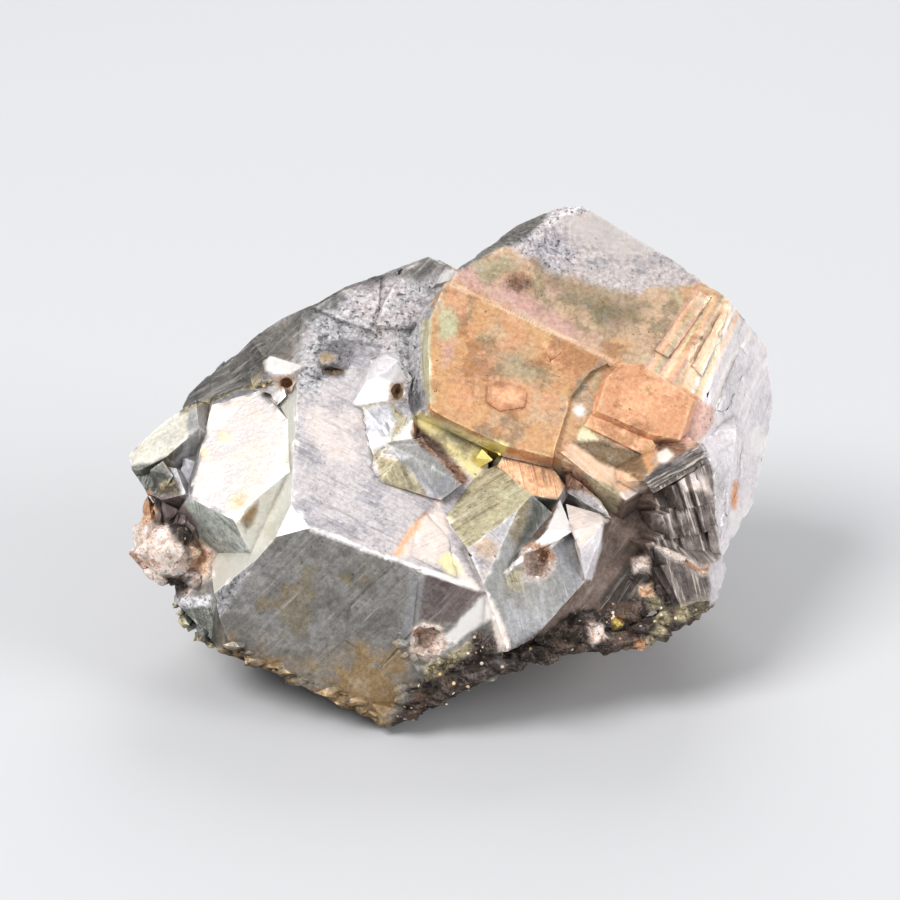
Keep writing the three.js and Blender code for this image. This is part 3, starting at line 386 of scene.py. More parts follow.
# Patches over them: look, outline on the sheet, softness of the border in
# sheet units, and whether the patch stays on the facet at its middle.
PATCHES = [
    # Left crystal: dark upper rim, worn steps and cream corner; its white and snow
    # patches are painted reflections of the lamp.
    ("dark_striated", [(250, 336), (300, 308), (345, 285), (400, 265), (430, 254), (452, 266), (400, 294),
        (345, 312), (310, 332), (290, 360), (262, 372)], 16, False),
    ("rim", [(310, 318), (350, 306), (400, 290), (440, 280), (418, 330), (360, 350), (320, 392),
        (296, 392)], 26, False),
    ("grey_top", [(340, 300), (390, 280), (408, 276), (384, 322), (345, 318)], 14, False),
    ("grey_top", [(372, 318), (420, 300), (425, 400), (396, 420), (380, 350)], 16, False),
    ("snow", [(436, 286), (446, 268), (457, 270), (452, 278)], 3, False),
    ("pale_lilac", [(366, 358), (395, 352), (406, 376), (396, 402), (352, 406)], 3, False),
    ("white", [(366, 383), (376, 377), (391, 381), (388, 400), (354, 404)], 2, False),
    ("sand", [(360, 407), (392, 401), (414, 424), (412, 440), (372, 456)], 4, False),
    ("mist", [(362, 409), (390, 404), (398, 420), (384, 446), (370, 450)], 9, False),
    ("white", [(411, 419), (416, 438), (391, 442)], 2, False),
    ("sand", [(375, 455), (398, 458), (430, 498), (380, 482)], 3, False),
    ("haze", [(400, 458), (427, 446), (455, 473), (462, 485), (440, 500)], 3, False),
    ("haze", [(387, 445), (420, 438), (428, 445), (415, 457), (398, 458)], 3, False),
    ("tan", [(389, 383), (404, 382), (406, 401), (390, 403)], 4, False),
    ("moss", [(320, 364), (345, 368), (344, 376), (324, 375)], 4, False),
    ("tan", [(318, 353), (334, 352), (336, 362), (320, 364)], 3, False),
    ("blush", [(440, 497), (448, 520), (450, 548), (464, 570), (488, 595), (437, 566), (396, 556),
        (418, 520)], 6, False),
    ("coral", [(442, 497), (428, 515), (412, 537), (400, 558), (392, 555), (404, 537), (418, 518)], 4, False),
    ("butter", [(437, 560), (449, 548), (463, 572), (452, 578)], 3, False),
    ("white", [(308, 527), (340, 537), (370, 549), (395, 557), (430, 569), (460, 579), (490, 594), (488, 600),
        (460, 586), (430, 576), (395, 562), (370, 554), (340, 542), (310, 531)], 3, False),
    # Front face: ochre foot, pale right strip, maroon facet, and a white strip that is a painted reflection.
    ("ochre", [(226, 640), (262, 648), (320, 660), (360, 640), (404, 650), (400, 740), (300, 712),
        (220, 664)], 26, False),
    ("haze", [(411, 574), (425, 574), (420, 618), (404, 654), (400, 636)], 4, False),
    ("maroon", [(426, 575), (485, 594), (464, 622), (418, 620)], 4, False),
    ("ochre_crust", [(214, 646), (240, 652), (300, 682), (386, 720), (386, 742), (280, 700),
        (200, 668)], 8, False),
    ("bark_crust", [(390, 738), (390, 712), (412, 690), (430, 668), (452, 660), (476, 634), (508, 640),
        (512, 668), (430, 720)], 10, False),
    ("tan_crust", [(424, 668), (452, 652), (470, 640), (474, 650), (440, 674), (424, 680)], 6, False),
    ("white", [(484, 596), (495, 602), (492, 616), (472, 630), (452, 648), (440, 650), (436, 642), (450, 632),
        (464, 616)], 4, False),
    ("blush", [(487, 600), (498, 612), (508, 640), (510, 656), (500, 650), (494, 626)], 3, False),
    ("pink_crust", [(412, 628), (424, 622), (442, 628), (448, 646), (430, 659), (410, 652)], 6, False),
    # White crystal: crusted rim over it, and small facets beside it made bright by painted reflections.
    ("dark_striated", [(178, 410), (190, 390), (214, 370), (250, 338), (268, 344), (264, 366), (248, 382),
        (214, 398), (190, 414)], 5, False),
    ("tan_crust", [(184, 409), (212, 397), (240, 386), (272, 379), (274, 385), (240, 391), (212, 403),
        (186, 413)], 3, False),
    ("haze", [(190, 408), (211, 404), (190, 500), (178, 497)], 3, False),
    ("peach", [(219, 432), (229, 433), (231, 442), (221, 443)], 6, True),
    ("peach", [(201, 450), (208, 449), (209, 456), (202, 458)], 4, True),
    ("peach", [(226, 500), (242, 494), (246, 508), (232, 514)], 9, True),
    ("snow", [(264, 360), (270, 355), (303, 366), (286, 376), (266, 370)], 2, False),
    ("snow", [(267, 393), (275, 383), (285, 388), (286, 396), (277, 406)], 2, False),
    ("tan", [(273, 376), (294, 375), (293, 390), (280, 390)], 3, False),
    ("ochre", [(240, 518), (258, 500), (257, 512), (246, 534)], 5, False),
    # Left end: small dark crystals, folds, the pink lump and the dark foot.
    ("slate", [(156, 462), (186, 441), (180, 466), (166, 464)], 3, False),
    ("mossy", [(128, 468), (157, 463), (174, 476), (166, 490), (152, 496), (134, 488)], 4, False),
    ("mist", [(172, 464), (190, 440), (187, 498), (172, 500)], 3, False),
    ("tan_crust", [(158, 484), (176, 480), (180, 500), (160, 502)], 4, False),
    ("maroon", [(146, 496), (178, 494), (200, 524), (196, 548), (170, 530), (150, 530)], 5, False),
    ("peach_crust", [(136, 500), (150, 490), (158, 512), (150, 530), (132, 536)], 4, False),
    ("pink_crust", [(124, 530), (150, 522), (182, 526), (214, 552), (214, 576), (190, 598), (166, 598),
        (122, 566)], 6, False),
    ("bark_crust", [(164, 522), (186, 524), (200, 548), (190, 558), (178, 540)], 6, False),
    ("peach_crust", [(190, 546), (212, 556), (208, 578), (194, 572)], 5, False),
    ("bark_crust", [(164, 574), (196, 574), (190, 594), (170, 594)], 8, False),
    ("mossy", [(176, 606), (212, 602), (218, 650), (206, 652), (186, 634)], 4, False),
    ("rim", [(166, 598), (212, 594), (211, 606), (168, 610)], 3, False),
    ("tan_crust", [(162, 602), (176, 604), (190, 632), (217, 646), (214, 662), (172, 650)], 4, False),
    # Right crystal: dark bevel, grey top, spots of tarnish; painted shade in its grooves
    # and undercuts, and a painted highlight on the plate's step.
    ("dusty", [(520, 200), (600, 190), (740, 290), (700, 279), (680, 288), (650, 291), (640, 297), (605, 288),
        (560, 273), (515, 250), (500, 244), (530, 230)], 9, True),
    ("grey_top", [(508, 228), (540, 214), (560, 236), (580, 262), (560, 272), (515, 250)], 18, True),
    ("milk", [(570, 206), (610, 212), (655, 248), (620, 262), (590, 250), (570, 232)], 22, True),
    ("grey_top", [(536, 228), (552, 203), (590, 203), (590, 214), (566, 216), (548, 228)], 3, False),
    ("dark_rim", [(452, 272), (480, 250), (500, 236), (530, 212), (558, 200), (552, 211), (539, 226),
        (520, 242), (500, 250), (480, 261), (464, 271)], 5, False),
    ("rose", [(458, 270), (478, 266), (540, 300), (600, 340), (600, 356), (540, 324), (470, 290)], 12, True),
    ("drab", [(470, 262), (505, 256), (520, 268), (486, 282)], 12, True),
    # painted highlight along the lit step at the plate's top edge
    ("peach", [(449, 281), (530, 319), (612, 359), (611, 362), (530, 322), (448, 285)], 2, False),
    ("stain_and_groove_shade", [(505, 275), (518, 272), (528, 284), (518, 292), (506, 286)], 11, True),
    ("olive", [(640, 302), (652, 300), (656, 309), (644, 311)], 8, True),
    ("olive", [(556, 284), (600, 296), (650, 300), (640, 322), (590, 322), (550, 304)], 26, True),
    ("mint", [(438, 312), (452, 306), (458, 326), (446, 342), (436, 336)], 14, True),
    ("rose", [(440, 344), (456, 342), (456, 362), (442, 366)], 12, True),
    ("drab", [(486, 340), (520, 350), (540, 372), (500, 372)], 30, True),
    ("rust", [(484, 382), (512, 379), (531, 389), (527, 411), (500, 415), (483, 405)], 3, False),
    ("coral", [(490, 388), (510, 385), (522, 393), (518, 404), (500, 407)], 8, False),
    ("coral", [(543, 343), (566, 350), (550, 366)], 3, False),
    # painted shade in the groove between the plate and the block
    ("ochre", [(606, 364), (594, 373), (584, 385), (575, 398), (570, 398), (581, 382), (592, 370),
        (603, 361)], 6, False),
    # painted reflection: a small white spot in the groove
    ("white", [(574, 408), (582, 405), (585, 413), (577, 416)], 2, False),
    ("rose", [(696, 399), (712, 408), (714, 424), (706, 434), (688, 450), (680, 440), (690, 420)], 4, False),
    ("butter", [(584, 424), (599, 440), (577, 442)], 2, False),
    # painted shadow in the undercut below the ledge
    ("moss", [(572, 443), (600, 440), (642, 452), (648, 470), (642, 488), (627, 477), (600, 463)], 3, False),
    ("drab", [(583, 477), (600, 481), (618, 490), (622, 500), (616, 514), (600, 506)], 3, False),
    ("peach", [(563, 448), (572, 444), (600, 462), (628, 475), (646, 486), (622, 496), (614, 486),
        (590, 475)], 3, False),
    # painted shadow in the undercut below the block's edge
    ("stain_and_groove_shade", [(650, 436), (682, 442), (686, 452), (672, 462), (658, 456)], 4, False),
    ("orange", [(646, 436), (656, 446), (652, 462), (656, 476), (646, 470), (640, 452)], 4, False),
    # painted reflection on the block's end
    ("white", [(656, 452), (667, 447), (674, 456), (667, 465), (657, 462)], 3, False),
    ("blush", [(620, 493), (645, 485), (648, 488), (626, 502)], 3, False),
    # White side of the right crystal: bright step lines that are painted highlights, a crack, the wall below.
    ("pale_lilac", [(700, 446), (716, 420), (728, 500), (726, 570), (708, 566), (712, 520),
        (702, 480)], 4, False),
    ("snow", [(754, 322), (757, 324), (747, 341), (731, 361), (721, 378), (719, 375), (729, 358),
        (745, 339)], 4, False),
    ("snow", [(772, 350), (775, 352), (757, 377), (747, 397), (739, 417), (737, 415), (745, 395),
        (755, 375)], 4, False),
    ("pale_lilac", [(710, 428), (738, 420), (742, 480), (732, 504), (722, 504), (714, 460)], 3, False),
    ("rust", [(734, 482), (739, 478), (738, 500), (734, 508), (732, 496)], 5, False),
    # Under the raised plate.
    ("lemon", [(416, 408), (450, 424), (480, 438), (506, 446), (474, 478), (444, 450), (414, 424)], 4, False),
    ("mint", [(444, 424), (470, 436), (468, 452), (446, 440)], 8, False),
    # painted shadow in the groove under the plate's lower edge
    ("stain_and_groove_shade", [(412, 420), (430, 434), (446, 450), (468, 480), (462, 483), (440, 460), (412, 436)], 6, False),
    ("gold", [(470, 460), (480, 446), (500, 440), (508, 444), (498, 460), (480, 470)], 4, False),
    ("rim", [(430, 316), (398, 333), (398, 362), (410, 384), (413, 412), (424, 412), (424, 360)], 5, False),
    ("mint", [(423, 322), (432, 318), (430, 360), (434, 404), (426, 404), (421, 360)], 4, False),
    # Wedge: olive side, pink facets and a white one whose white is a painted reflection, pit.
    ("olive", [(512, 492), (530, 497), (534, 520), (516, 548), (508, 530)], 14, True),
    ("sand", [(500, 580), (520, 566), (524, 590), (506, 600)], 20, True),
    ("mossy", [(534, 498), (558, 500), (540, 526), (524, 546), (508, 570)], 5, False),
    ("white", [(560, 500), (573, 530), (548, 552), (503, 574), (545, 532)], 2, False),
    ("blush", [(566, 504), (600, 514), (612, 519), (604, 524), (580, 549), (570, 530)], 3, False),
    ("pale_lilac", [(604, 524), (601, 551), (592, 580), (585, 581), (580, 560), (581, 548)], 3, False),
    ("pink_crust", [(520, 548), (534, 540), (550, 544), (556, 560), (546, 580), (526, 580)], 6, False),
    # painted shadow in the groove between the plate and the ledge below it
    ("stain_and_groove_shade", [(562, 468), (586, 480), (604, 500), (588, 494), (562, 488)], 6, False),
    # Root: laminated blocks, pale veins, crust and its pale grains.
    ("laminated", [(654, 486), (704, 452), (713, 470), (716, 530), (723, 562), (720, 606), (676, 612),
        (650, 560)], 4, False),
    ("flake", [(640, 484), (660, 464), (703, 444), (708, 458), (682, 474), (656, 490)], 3, False),
    ("blush", [(678, 478), (692, 470), (706, 478), (712, 494), (700, 488), (686, 490)], 6, False),
    ("bark", [(622, 566), (644, 542), (658, 552), (664, 580), (680, 604), (660, 614), (616, 614),
        (604, 602)], 9, False),
    ("bark_crust", [(560, 618), (620, 602), (646, 580), (676, 606), (720, 602), (706, 630), (650, 662),
        (540, 674), (498, 688), (496, 660)], 10, False),
    ("pink_crust", [(650, 540), (684, 556), (700, 568), (718, 562), (716, 572), (700, 576), (678, 562),
        (652, 546)], 4, False),
    ("tan_crust", [(632, 586), (648, 590), (664, 606), (672, 620), (666, 634), (646, 650), (640, 644),
        (656, 626), (650, 606)], 5, False),
    ("tan_crust", [(676, 606), (716, 596), (714, 606), (690, 620), (676, 620)], 5, False),
    ("pink_crust", [(588, 624), (602, 622), (608, 638), (592, 644)], 4, False),
    ("gold_crust", [(612, 618), (624, 616), (625, 628), (613, 630)], 3, False),
    ("pink_crust", [(632, 558), (648, 557), (650, 573), (634, 573)], 4, False),
    ("peach_crust", [(636, 584), (652, 583), (654, 596), (640, 598)], 4, False),
    ("peach_crust", [(634, 640), (646, 638), (648, 652), (636, 654)], 4, False),
    ("pale_lilac", [(710, 566), (722, 556), (729, 567), (724, 583), (718, 601), (710, 606)], 3, False),
]

# Coloured bands that run down the right edge of the broad face, between an
# upper and a lower line, with the share of the way at which each one ends.
BAND_TOP = ((694, 289), (748, 314))
BAND_FOOT = ((645, 366), (708, 402))
BANDS = [
    ("rose", 0.04), ("peach", 0.10), ("coral", 0.14), ("mint", 0.20), ("rose", 0.24), ("peach", 0.31),
    ("butter", 0.35), ("coral", 0.44), ("rose", 0.48), ("tan", 0.58), ("peach", 0.74),
    ("white", 0.78), ("mint", 0.81), ("peach", 0.88), ("blush", 0.94), ("pale_lilac", 1.0),
]

# A face belongs to a facet when its slope and its plane agree this well.
FACET_ANGLE = math.radians(2.5)
FACET_OFFSET_MM = 0.05

# Softness of borders, in sheet units and as noise values, and how far a border
# wanders as a share of its softness.
REGION_SOFT = 3
BAND_SOFT = 3
CLOUD_SOFT = 0.16
BACK_CLOUD_SOFT = 0.2
BORDER_WANDER = 0.9
WANDER_MM = 1.6

# The far side: clouds, the chance at which each look begins, how finely slopes
# are told apart, and the height in millimetres up to which the root is crusted.
BACK_CLOUDS = (("tan", 5.2, 0.12, 0.75), ("mist", 3.7, 0.15, 0.6), ("ochre", 2.4, 0.30, 0.6))
BACK_LOOKS = (("lilac", 0.30), ("haze", 0.48), ("drab", 0.66), ("umber", 0.80), ("stone", 0.92))
SLOPE_CELLS = 9
OFFSET_CELLS = np.array([2, 5, 11])
CRUST_LOW_MM = 1.5
CRUST_HIGH_MM = 4.5
CRUST_WANDER_MM = 1.8
CRUST_SHARE = 0.9

# Painted shade in the crevices and a painted highlight on the edges: shade or
# share, reach in millimetres, and how far each wanders.
CREVICE_SHADE = np.array([0.34, 0.29, 0.25])
CREVICE_SHADE_SHARE = 0.55
CREVICE_SHADE_REACH_MM = 0.30
CREVICE_SHADE_WANDER_MM = 0.14
CREVICE_SHADE_PATCH_MM = 2.6
CREVICE_SHADE_PATCH_STEP = (-0.35, 0.25)
EDGE_HIGHLIGHT_SHARE = 0.40
EDGE_HIGHLIGHT_REACH_MM = 0.14
EDGE_HIGHLIGHT_WANDER_MM = 0.06
EDGE_HIGHLIGHT_GAIN = 1.7
EDGE_HIGHLIGHT_LIFT = 0.06
EDGE_HIGHLIGHT_MOST = 0.92
CREVICE_CLEAR_MM = 0.2
EDGE_SEARCH_MM = 1.0
EDGE_NOISE_MM = 0.9

# Relief, in millimetres: height and size of the crust's ridges and grains, of
# the chips on the edges and of the waves of the faces.
CRUST_ROUGHNESS = (0.5, 0.62)
RIDGE_HEIGHT_MM, RIDGE_SIZE_MM, RIDGE_SLOPE = 0.14, 1.1, 2.4
GRAIN_HEIGHT_MM, GRAIN_SIZE_MM = 0.12, 0.4
CHIP_DEPTH_MM, CHIP_SIZE_MM, CHIP_REACH_MM = 0.12, 0.7, 0.3
CHIP_STEP = (0.05, 0.5)
WAVE_HEIGHT_MM, WAVE_SIZE_MM = 0.012, 2.2
FOOT_MM = 0.02


def point_on(line, share):
    """The point at a share of the way along a line."""
    start, end = np.array(line)
    return start + (end - start) * share


def linear(colour):
    """Linear light of a colour that is given in screen values."""
    value = np.array(colour) / 255
    return np.where(value <= 0.04045, value / 12.92, ((value + 0.055) / 1.055) ** 2.4)


class Surface:
    """The fine mesh as arrays, with what is painted on its face corners."""

    def __init__(self, mesh, source):
        self.mesh = mesh
        mesh.calc_loop_triangles()
        self.points = read(mesh.vertices, "co", 3) * 1000
        self.faces = read(mesh.loops, "vertex_index", 1, np.int32).reshape(-1, 3)
        corners = self.points[self.faces]
        cross = np.cross(corners[:, 1] - corners[:, 0], corners[:, 2] - corners[:, 0])
        length = np.linalg.norm(cross, axis=1)
        self.face_normal = cross / np.maximum(length, 1e-12)[:, None]
        self.position = corners.reshape(-1, 3)
        self.sheet = sheet_position(self.position)
        self.middle = corners.mean(axis=1)
        to_eye = EYE_MM - self.middle
        to_eye /= np.linalg.norm(to_eye, axis=1)[:, None]
        self.facing = np.repeat((self.face_normal * to_eye).sum(axis=1), 3)
        count = len(self.position)
        self.colour = np.zeros((count, 3))
        self.stain = np.zeros((count, 3))
        self.finish = np.zeros((count, 4))
        self.grain = np.zeros((count, 3))
        self.wobble = noise(self.position, WANDER_MM, 4)
        self.tree = BVHTree.FromPolygons(
            [tuple(v.co) for v in source.data.vertices],
            [tuple(p.vertices) for p in source.data.polygons],
        )

    def facet_at(self, across, down):
        """Normal and offset of the facet that is seen at a sheet position."""
        place, normal, _, _ = self.tree.ray_cast(Vector(EYE_MM / 1000), Vector(sight(across, down)))
        if place is None:
            return None
        normal = np.array(normal)
        return normal, float(np.array(place) @ normal * 1000)

    def on_facet(self, facet):
        """One for each face corner on the facet, zero elsewhere."""
        normal, offset = facet
        same = self.face_normal @ normal > math.cos(FACET_ANGLE)
        same &= np.abs(self.middle @ normal - offset) < FACET_OFFSET_MM
        return np.repeat(same, 3)

    def seen_at(self, facet, across, down):
        """The point of a facet's plane at a sheet position."""
        normal, offset = facet
        direction = sight(across, down)
        reach = (offset - EYE_MM @ normal) / (direction @ normal)
        return EYE_MM + direction * reach

    def lay(self, weight, look):
        """Lay a look over what is there, by the weight at each face corner."""
        colour, stain, finish = LOOKS[look]
        weight = weight[:, None]
        self.colour += (linear(colour) - self.colour) * weight
        self.stain += (linear(stain) - self.stain) * weight
        self.finish += (np.array(finish) - self.finish) * weight

    def grow_lines(self, mask, direction, normal, seed):
        """Coordinates for streaks along a direction: across, along, seed."""
        side = np.cross(normal, direction)
        self.grain[mask, 0] = (self.position[mask] * side).sum(axis=1)
        self.grain[mask, 1] = (self.position[mask] * direction).sum(axis=1)
        self.grain[mask, 2] = seed

    def paint_far_side(self):
        """Every facet gets a tarnish and a growth direction of its own."""
        offset = (self.middle * self.face_normal).sum(axis=1)
        cell = np.round(self.face_normal * SLOPE_CELLS) + np.round(offset)[:, None] * OFFSET_CELLS
        chance = np.repeat(lattice(cell), 3)
        turn = np.repeat(lattice(cell + 31), 3) * math.pi
        normal = np.repeat(self.face_normal, 3, axis=0)
        self.lay(np.ones(len(self.position)), "steel")
        for look, start in BACK_LOOKS:
            self.lay((chance > start).astype(float), look)
        for look, size, start, share in BACK_CLOUDS:
            shape = noise(self.position + 9 * size, size, 5)
            self.lay(share * smooth_step(start, start + BACK_CLOUD_SOFT, shape), look)
        height = self.position[:, 2] + CRUST_WANDER_MM * self.wobble
        self.lay((1 - smooth_step(CRUST_LOW_MM, CRUST_HIGH_MM, height)) * CRUST_SHARE, "bark_crust")
        level = np.cross(normal, [0.0, 0.0, 1.0])
        level /= np.maximum(np.linalg.norm(level, axis=1), 0.05)[:, None]
        side = np.cross(normal, level)
        across = (self.position * side).sum(axis=1)
        along = (self.position * level).sum(axis=1)
        self.grain[:, 0] = across * np.cos(turn) + along * np.sin(turn)
        self.grain[:, 1] = along * np.cos(turn) - across * np.sin(turn)
        self.grain[:, 2] = chance * 90

    def paint_facets(self):
        for seed, (place, look, line) in enumerate(FACETS):
            facet = self.facet_at(*place)
            mask = self.on_facet(facet)
            self.lay(mask.astype(float), look)
            if line:
                direction = self.seen_at(facet, *line[1]) - self.seen_at(facet, *line[0])
                self.grow_lines(mask, direction / np.linalg.norm(direction), facet[0], 20 + 3.7 * seed)

    def lead_lines(self):
        for seed, (outline, line) in enumerate(LINES):
            outline = np.array(outline, dtype=float)
            facet = self.facet_at(*outline.mean(axis=0))
            direction = self.seen_at(facet, *line[1]) - self.seen_at(facet, *line[0])
            inside = (self.facing > FACING_LEAST) & (polygon_distance(self.sheet, outline) < 0)
            self.grow_lines(inside, direction / np.linalg.norm(direction), facet[0], 300 + 4.3 * seed)

    def paint_clouds(self):
        for seed, (place, look, size, start, share) in enumerate(CLOUDS):
            chosen = np.flatnonzero(self.on_facet(self.facet_at(*place)))
            shape = noise(self.position[chosen] + 11.3 * seed, size, 5)
            weight = np.zeros(len(self.position))
            weight[chosen] = share * smooth_step(start, start + CLOUD_SOFT, shape)
            self.lay(weight, look)

    def paint(self, look, outline, soft, bound=False):
        outline = np.array(outline, dtype=float)
        low = outline.min(axis=0) - 2 * soft
        high = outline.max(axis=0) + 2 * soft
        close = (self.facing > FACING_LEAST) & np.all((self.sheet > low) & (self.sheet < high), axis=1)
        if bound:
            close &= self.on_facet(self.facet_at(*outline.mean(axis=0)))
        chosen = np.flatnonzero(close)
        distance = polygon_distance(self.sheet[chosen], outline)
        distance += self.wobble[chosen] * soft * BORDER_WANDER
        weight = np.zeros(len(self.position))
        weight[chosen] = 1 - smooth_step(-0.5 * soft, 0.5 * soft, distance)
        self.lay(weight, look)

    def paint_bands(self):
        start = 0.0
        for look, end in BANDS:
            outline = [
                point_on(BAND_TOP, start), point_on(BAND_TOP, end),
                point_on(BAND_FOOT, end), point_on(BAND_FOOT, start),
            ]
            self.paint(look, outline, BAND_SOFT)
            start = end


def sharp_edges(surface, mesh):
    """Vertices on the sharp edges that go in, and on those that stand out."""
    sharp = read(mesh.edges, "use_edge_sharp", 1, bool).ravel()
    ends = read(mesh.edges, "vertices", 2, np.int32)
    edge_of_corner = read(mesh.loops, "edge_index", 1, np.int32).ravel()
    order = np.argsort(edge_of_corner, kind="stable")
    first = np.searchsorted(edge_of_corner[order], np.arange(len(ends)))
    paired = np.bincount(edge_of_corner, minlength=len(ends)) == 2
    chosen = np.flatnonzero(sharp & paired)
    f = order[first[chosen]] // 3
    g = order[first[chosen] + 1] // 3
    rise = ((surface.middle[g] - surface.middle[f]) * surface.face_normal[f]).sum(axis=1)
    return np.unique(ends[chosen[rise > 0]]), np.unique(ends[chosen[rise <= 0]])


def distance_to(surface, vertices, reach):
    """Distance of every vertex to the nearest of some vertices, in mm."""
    tree = kdtree.KDTree(len(vertices))
    for vertex in vertices:
        tree.insert(surface.points[vertex], int(vertex))
    tree.balance()
    return np.array([min(reach, tree.find(point)[2]) for point in surface.points])


def vertex_mean(surface, corner_values):
    """Mean over the corners that meet at each vertex."""
    total = np.zeros(len(surface.points))
    times = np.zeros(len(surface.points))
    np.add.at(total, surface.faces.ravel(), corner_values)
    np.add.at(times, surface.faces.ravel(), 1)
    return total / np.maximum(times, 1)


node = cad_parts["pyrite_cluster"]
mesh = fine_mesh(node)
piece = bpy.data.objects.new("pyrite_crystals", mesh)
bpy.context.collection.objects.link(piece)
print("fine mesh", len(mesh.vertices), len(mesh.polygons))

surface = Surface(mesh, node)
surface.paint_far_side()
for region in REGIONS:
    surface.paint(*region, REGION_SOFT)
surface.paint_facets()
surface.lead_lines()
surface.paint_clouds()
for patch in PATCHES:
    surface.paint(*patch)
surface.paint_bands()

# Painted shade in the crevices and a painted highlight on the crystal edges.
inner, outer = sharp_edges(surface, mesh)
crevice = distance_to(surface, inner, EDGE_SEARCH_MM)
rim = distance_to(surface, outer, EDGE_SEARCH_MM)
wobble = noise(surface.points, EDGE_NOISE_MM, 3)
# painted shade: the colour is darker near the crevices, in patches
crevice_shade = (1 - smooth_step(0.0, CREVICE_SHADE_REACH_MM, crevice + CREVICE_SHADE_WANDER_MM * wobble)) * CREVICE_SHADE_SHARE
crevice_shade *= smooth_step(*CREVICE_SHADE_PATCH_STEP, noise(surface.points + 7, CREVICE_SHADE_PATCH_MM, 3))
# painted highlight: lighter colour along the edges that stand out, clear of the crevices
edge_highlight = (1 - smooth_step(0.0, EDGE_HIGHLIGHT_REACH_MM, rim + EDGE_HIGHLIGHT_WANDER_MM * wobble)) * (crevice > CREVICE_CLEAR_MM)
crevice_shade = crevice_shade[surface.faces.ravel()][:, None]
edge_highlight = edge_highlight[surface.faces.ravel()][:, None]
edge_highlight_colour = np.minimum(EDGE_HIGHLIGHT_GAIN * surface.colour + EDGE_HIGHLIGHT_LIFT, EDGE_HIGHLIGHT_MOST)
surface.colour += (edge_highlight_colour - surface.colour) * EDGE_HIGHLIGHT_SHARE * edge_highlight
surface.colour += (CREVICE_SHADE * surface.colour - surface.colour) * crevice_shade

# Relief: the crust is rough, edges are chipped, and the faces are not quite flat.
# It stays inside the box of the solid, and the foot stays flat.
normals = read(mesh.vertices, "normal", 3)
crusty = vertex_mean(surface, smooth_step(*CRUST_ROUGHNESS, surface.finish[:, 0]))
ridges = 1 - np.abs(noise(surface.points + 3, RIDGE_SIZE_MM, 3)) * RIDGE_SLOPE
grains = noise(surface.points + 9, GRAIN_SIZE_MM, 2)
chips = smooth_step(*CHIP_STEP, noise(surface.points + 5, CHIP_SIZE_MM, 2))
relief = crusty * (RIDGE_HEIGHT_MM * ridges + GRAIN_HEIGHT_MM * grains)
relief -= (1 - smooth_step(0.0, CHIP_REACH_MM, rim)) * CHIP_DEPTH_MM * chips
relief += (1 - crusty) * WAVE_HEIGHT_MM * noise(surface.points + 30, WAVE_SIZE_MM, 2)
moved = surface.points + normals * relief[:, None]
low, high = (np.array(c) * 1000 for c in cad_box)
moved = np.clip(moved, low, high)
on_foot = surface.points[:, 2] < FOOT_MM
moved[on_foot, 2] = surface.points[on_foot, 2]
mesh.vertices.foreach_set("co", (moved / 1000).ravel())
mesh.update()


def store(name, kind, values):
    layer = mesh.attributes.new(name, kind, "CORNER")
    layer.data.foreach_set("color" if kind == "FLOAT_COLOR" else "vector", values.ravel())


alpha = np.ones((len(surface.colour), 1))
store("tint", "FLOAT_COLOR", np.hstack([np.clip(surface.colour, 0, 1), alpha]))
store("stain", "FLOAT_COLOR", np.hstack([np.clip(surface.stain, 0, 1), alpha]))
store("finish", "FLOAT_COLOR", surface.finish)
store("grain", "FLOAT_VECTOR", surface.grain)


# Patterns of the material, as repeats per metre of the cluster.
CLOUD_SCALE = 620
BLOTCH_SCALE = 330
BLOTCH_STRETCH = (1.0, 1.0, 1.3)
GRAIN_SCALE = 3400
VEIN_SCALE = 700
PIN_SCALE = 3300
GLINT_SCALE = 2300

# Streaks, as repeats per millimetre across and along the growth direction, and
# how much they change from facet to facet.
LINE_REPEAT = (3.4, 0.20, 1.0)
DASH_REPEAT = (3.0, 0.95, 1.0)
BAND_REPEAT = (0.9, 0.08, 1.0)
SCRATCH_REPEAT = (5.5, 0.26, 2.3)

# Steps: the values at which a pattern begins and is full, and its strength.
CRUST_STEP = (0.50, 0.62, 1.0)
STAIN_STEP = (0.50, 0.58, 0.85)
CLOUD_STEP = (0.40, 0.66, 0.60)
BARE_STEP = (0.44, 0.34, 0.40)
GRAIN_STEP = (0.30, 0.70, 1.0)
VEIN_STEP = (0.022, 0.004, 1.0)
LINE_STEP = (0.52, 0.64, 0.75)
DASH_STEP = (0.56, 0.66, 0.80)
BAND_STEP = (0.55, 0.70, 0.50)
RIDGE_STEP = (0.46, 0.34, 0.60)
SCRATCH_STEP = (0.68, 0.74, 0.50)
LAMINA_STEP = (0.88, 1.0, 1.0)
PALE_LINE_STEP = (0.47, 0.38, 0.85)
PIN_STEP = (0.0, 0.04, 1.0)
GLINT_SIZE_STEP = (0.30, 0.20, 1.0)
GLINT_CHANCE_STEP = (0.74, 0.78, 1.0)
CLOUD_ROUGH_STEP = (0.35, 0.68, 1.0)

# Shades that darken what is under them, and lights that brighten it.
CLOUD_SHADE = (0.62, 0.60, 0.60)
LINE_SHADE = (0.40, 0.40, 0.44)
DASH_SHADE = (0.40, 0.40, 0.46)
BAND_SHADE = (0.60, 0.60, 0.64)
PIN_SHADE = (0.16, 0.14, 0.14)
BARE_LIGHT = (0.30, 0.27, 0.25)
VEIN_LIGHT = (0.40, 0.38, 0.36)
RIDGE_LIGHT = (0.50, 0.47, 0.44)
SCRATCH_LIGHT = (0.46, 0.44, 0.42)
PALE_GLINT = (0.95, 0.90, 0.84)
GOLD_GLINT = (0.92, 0.62, 0.30)

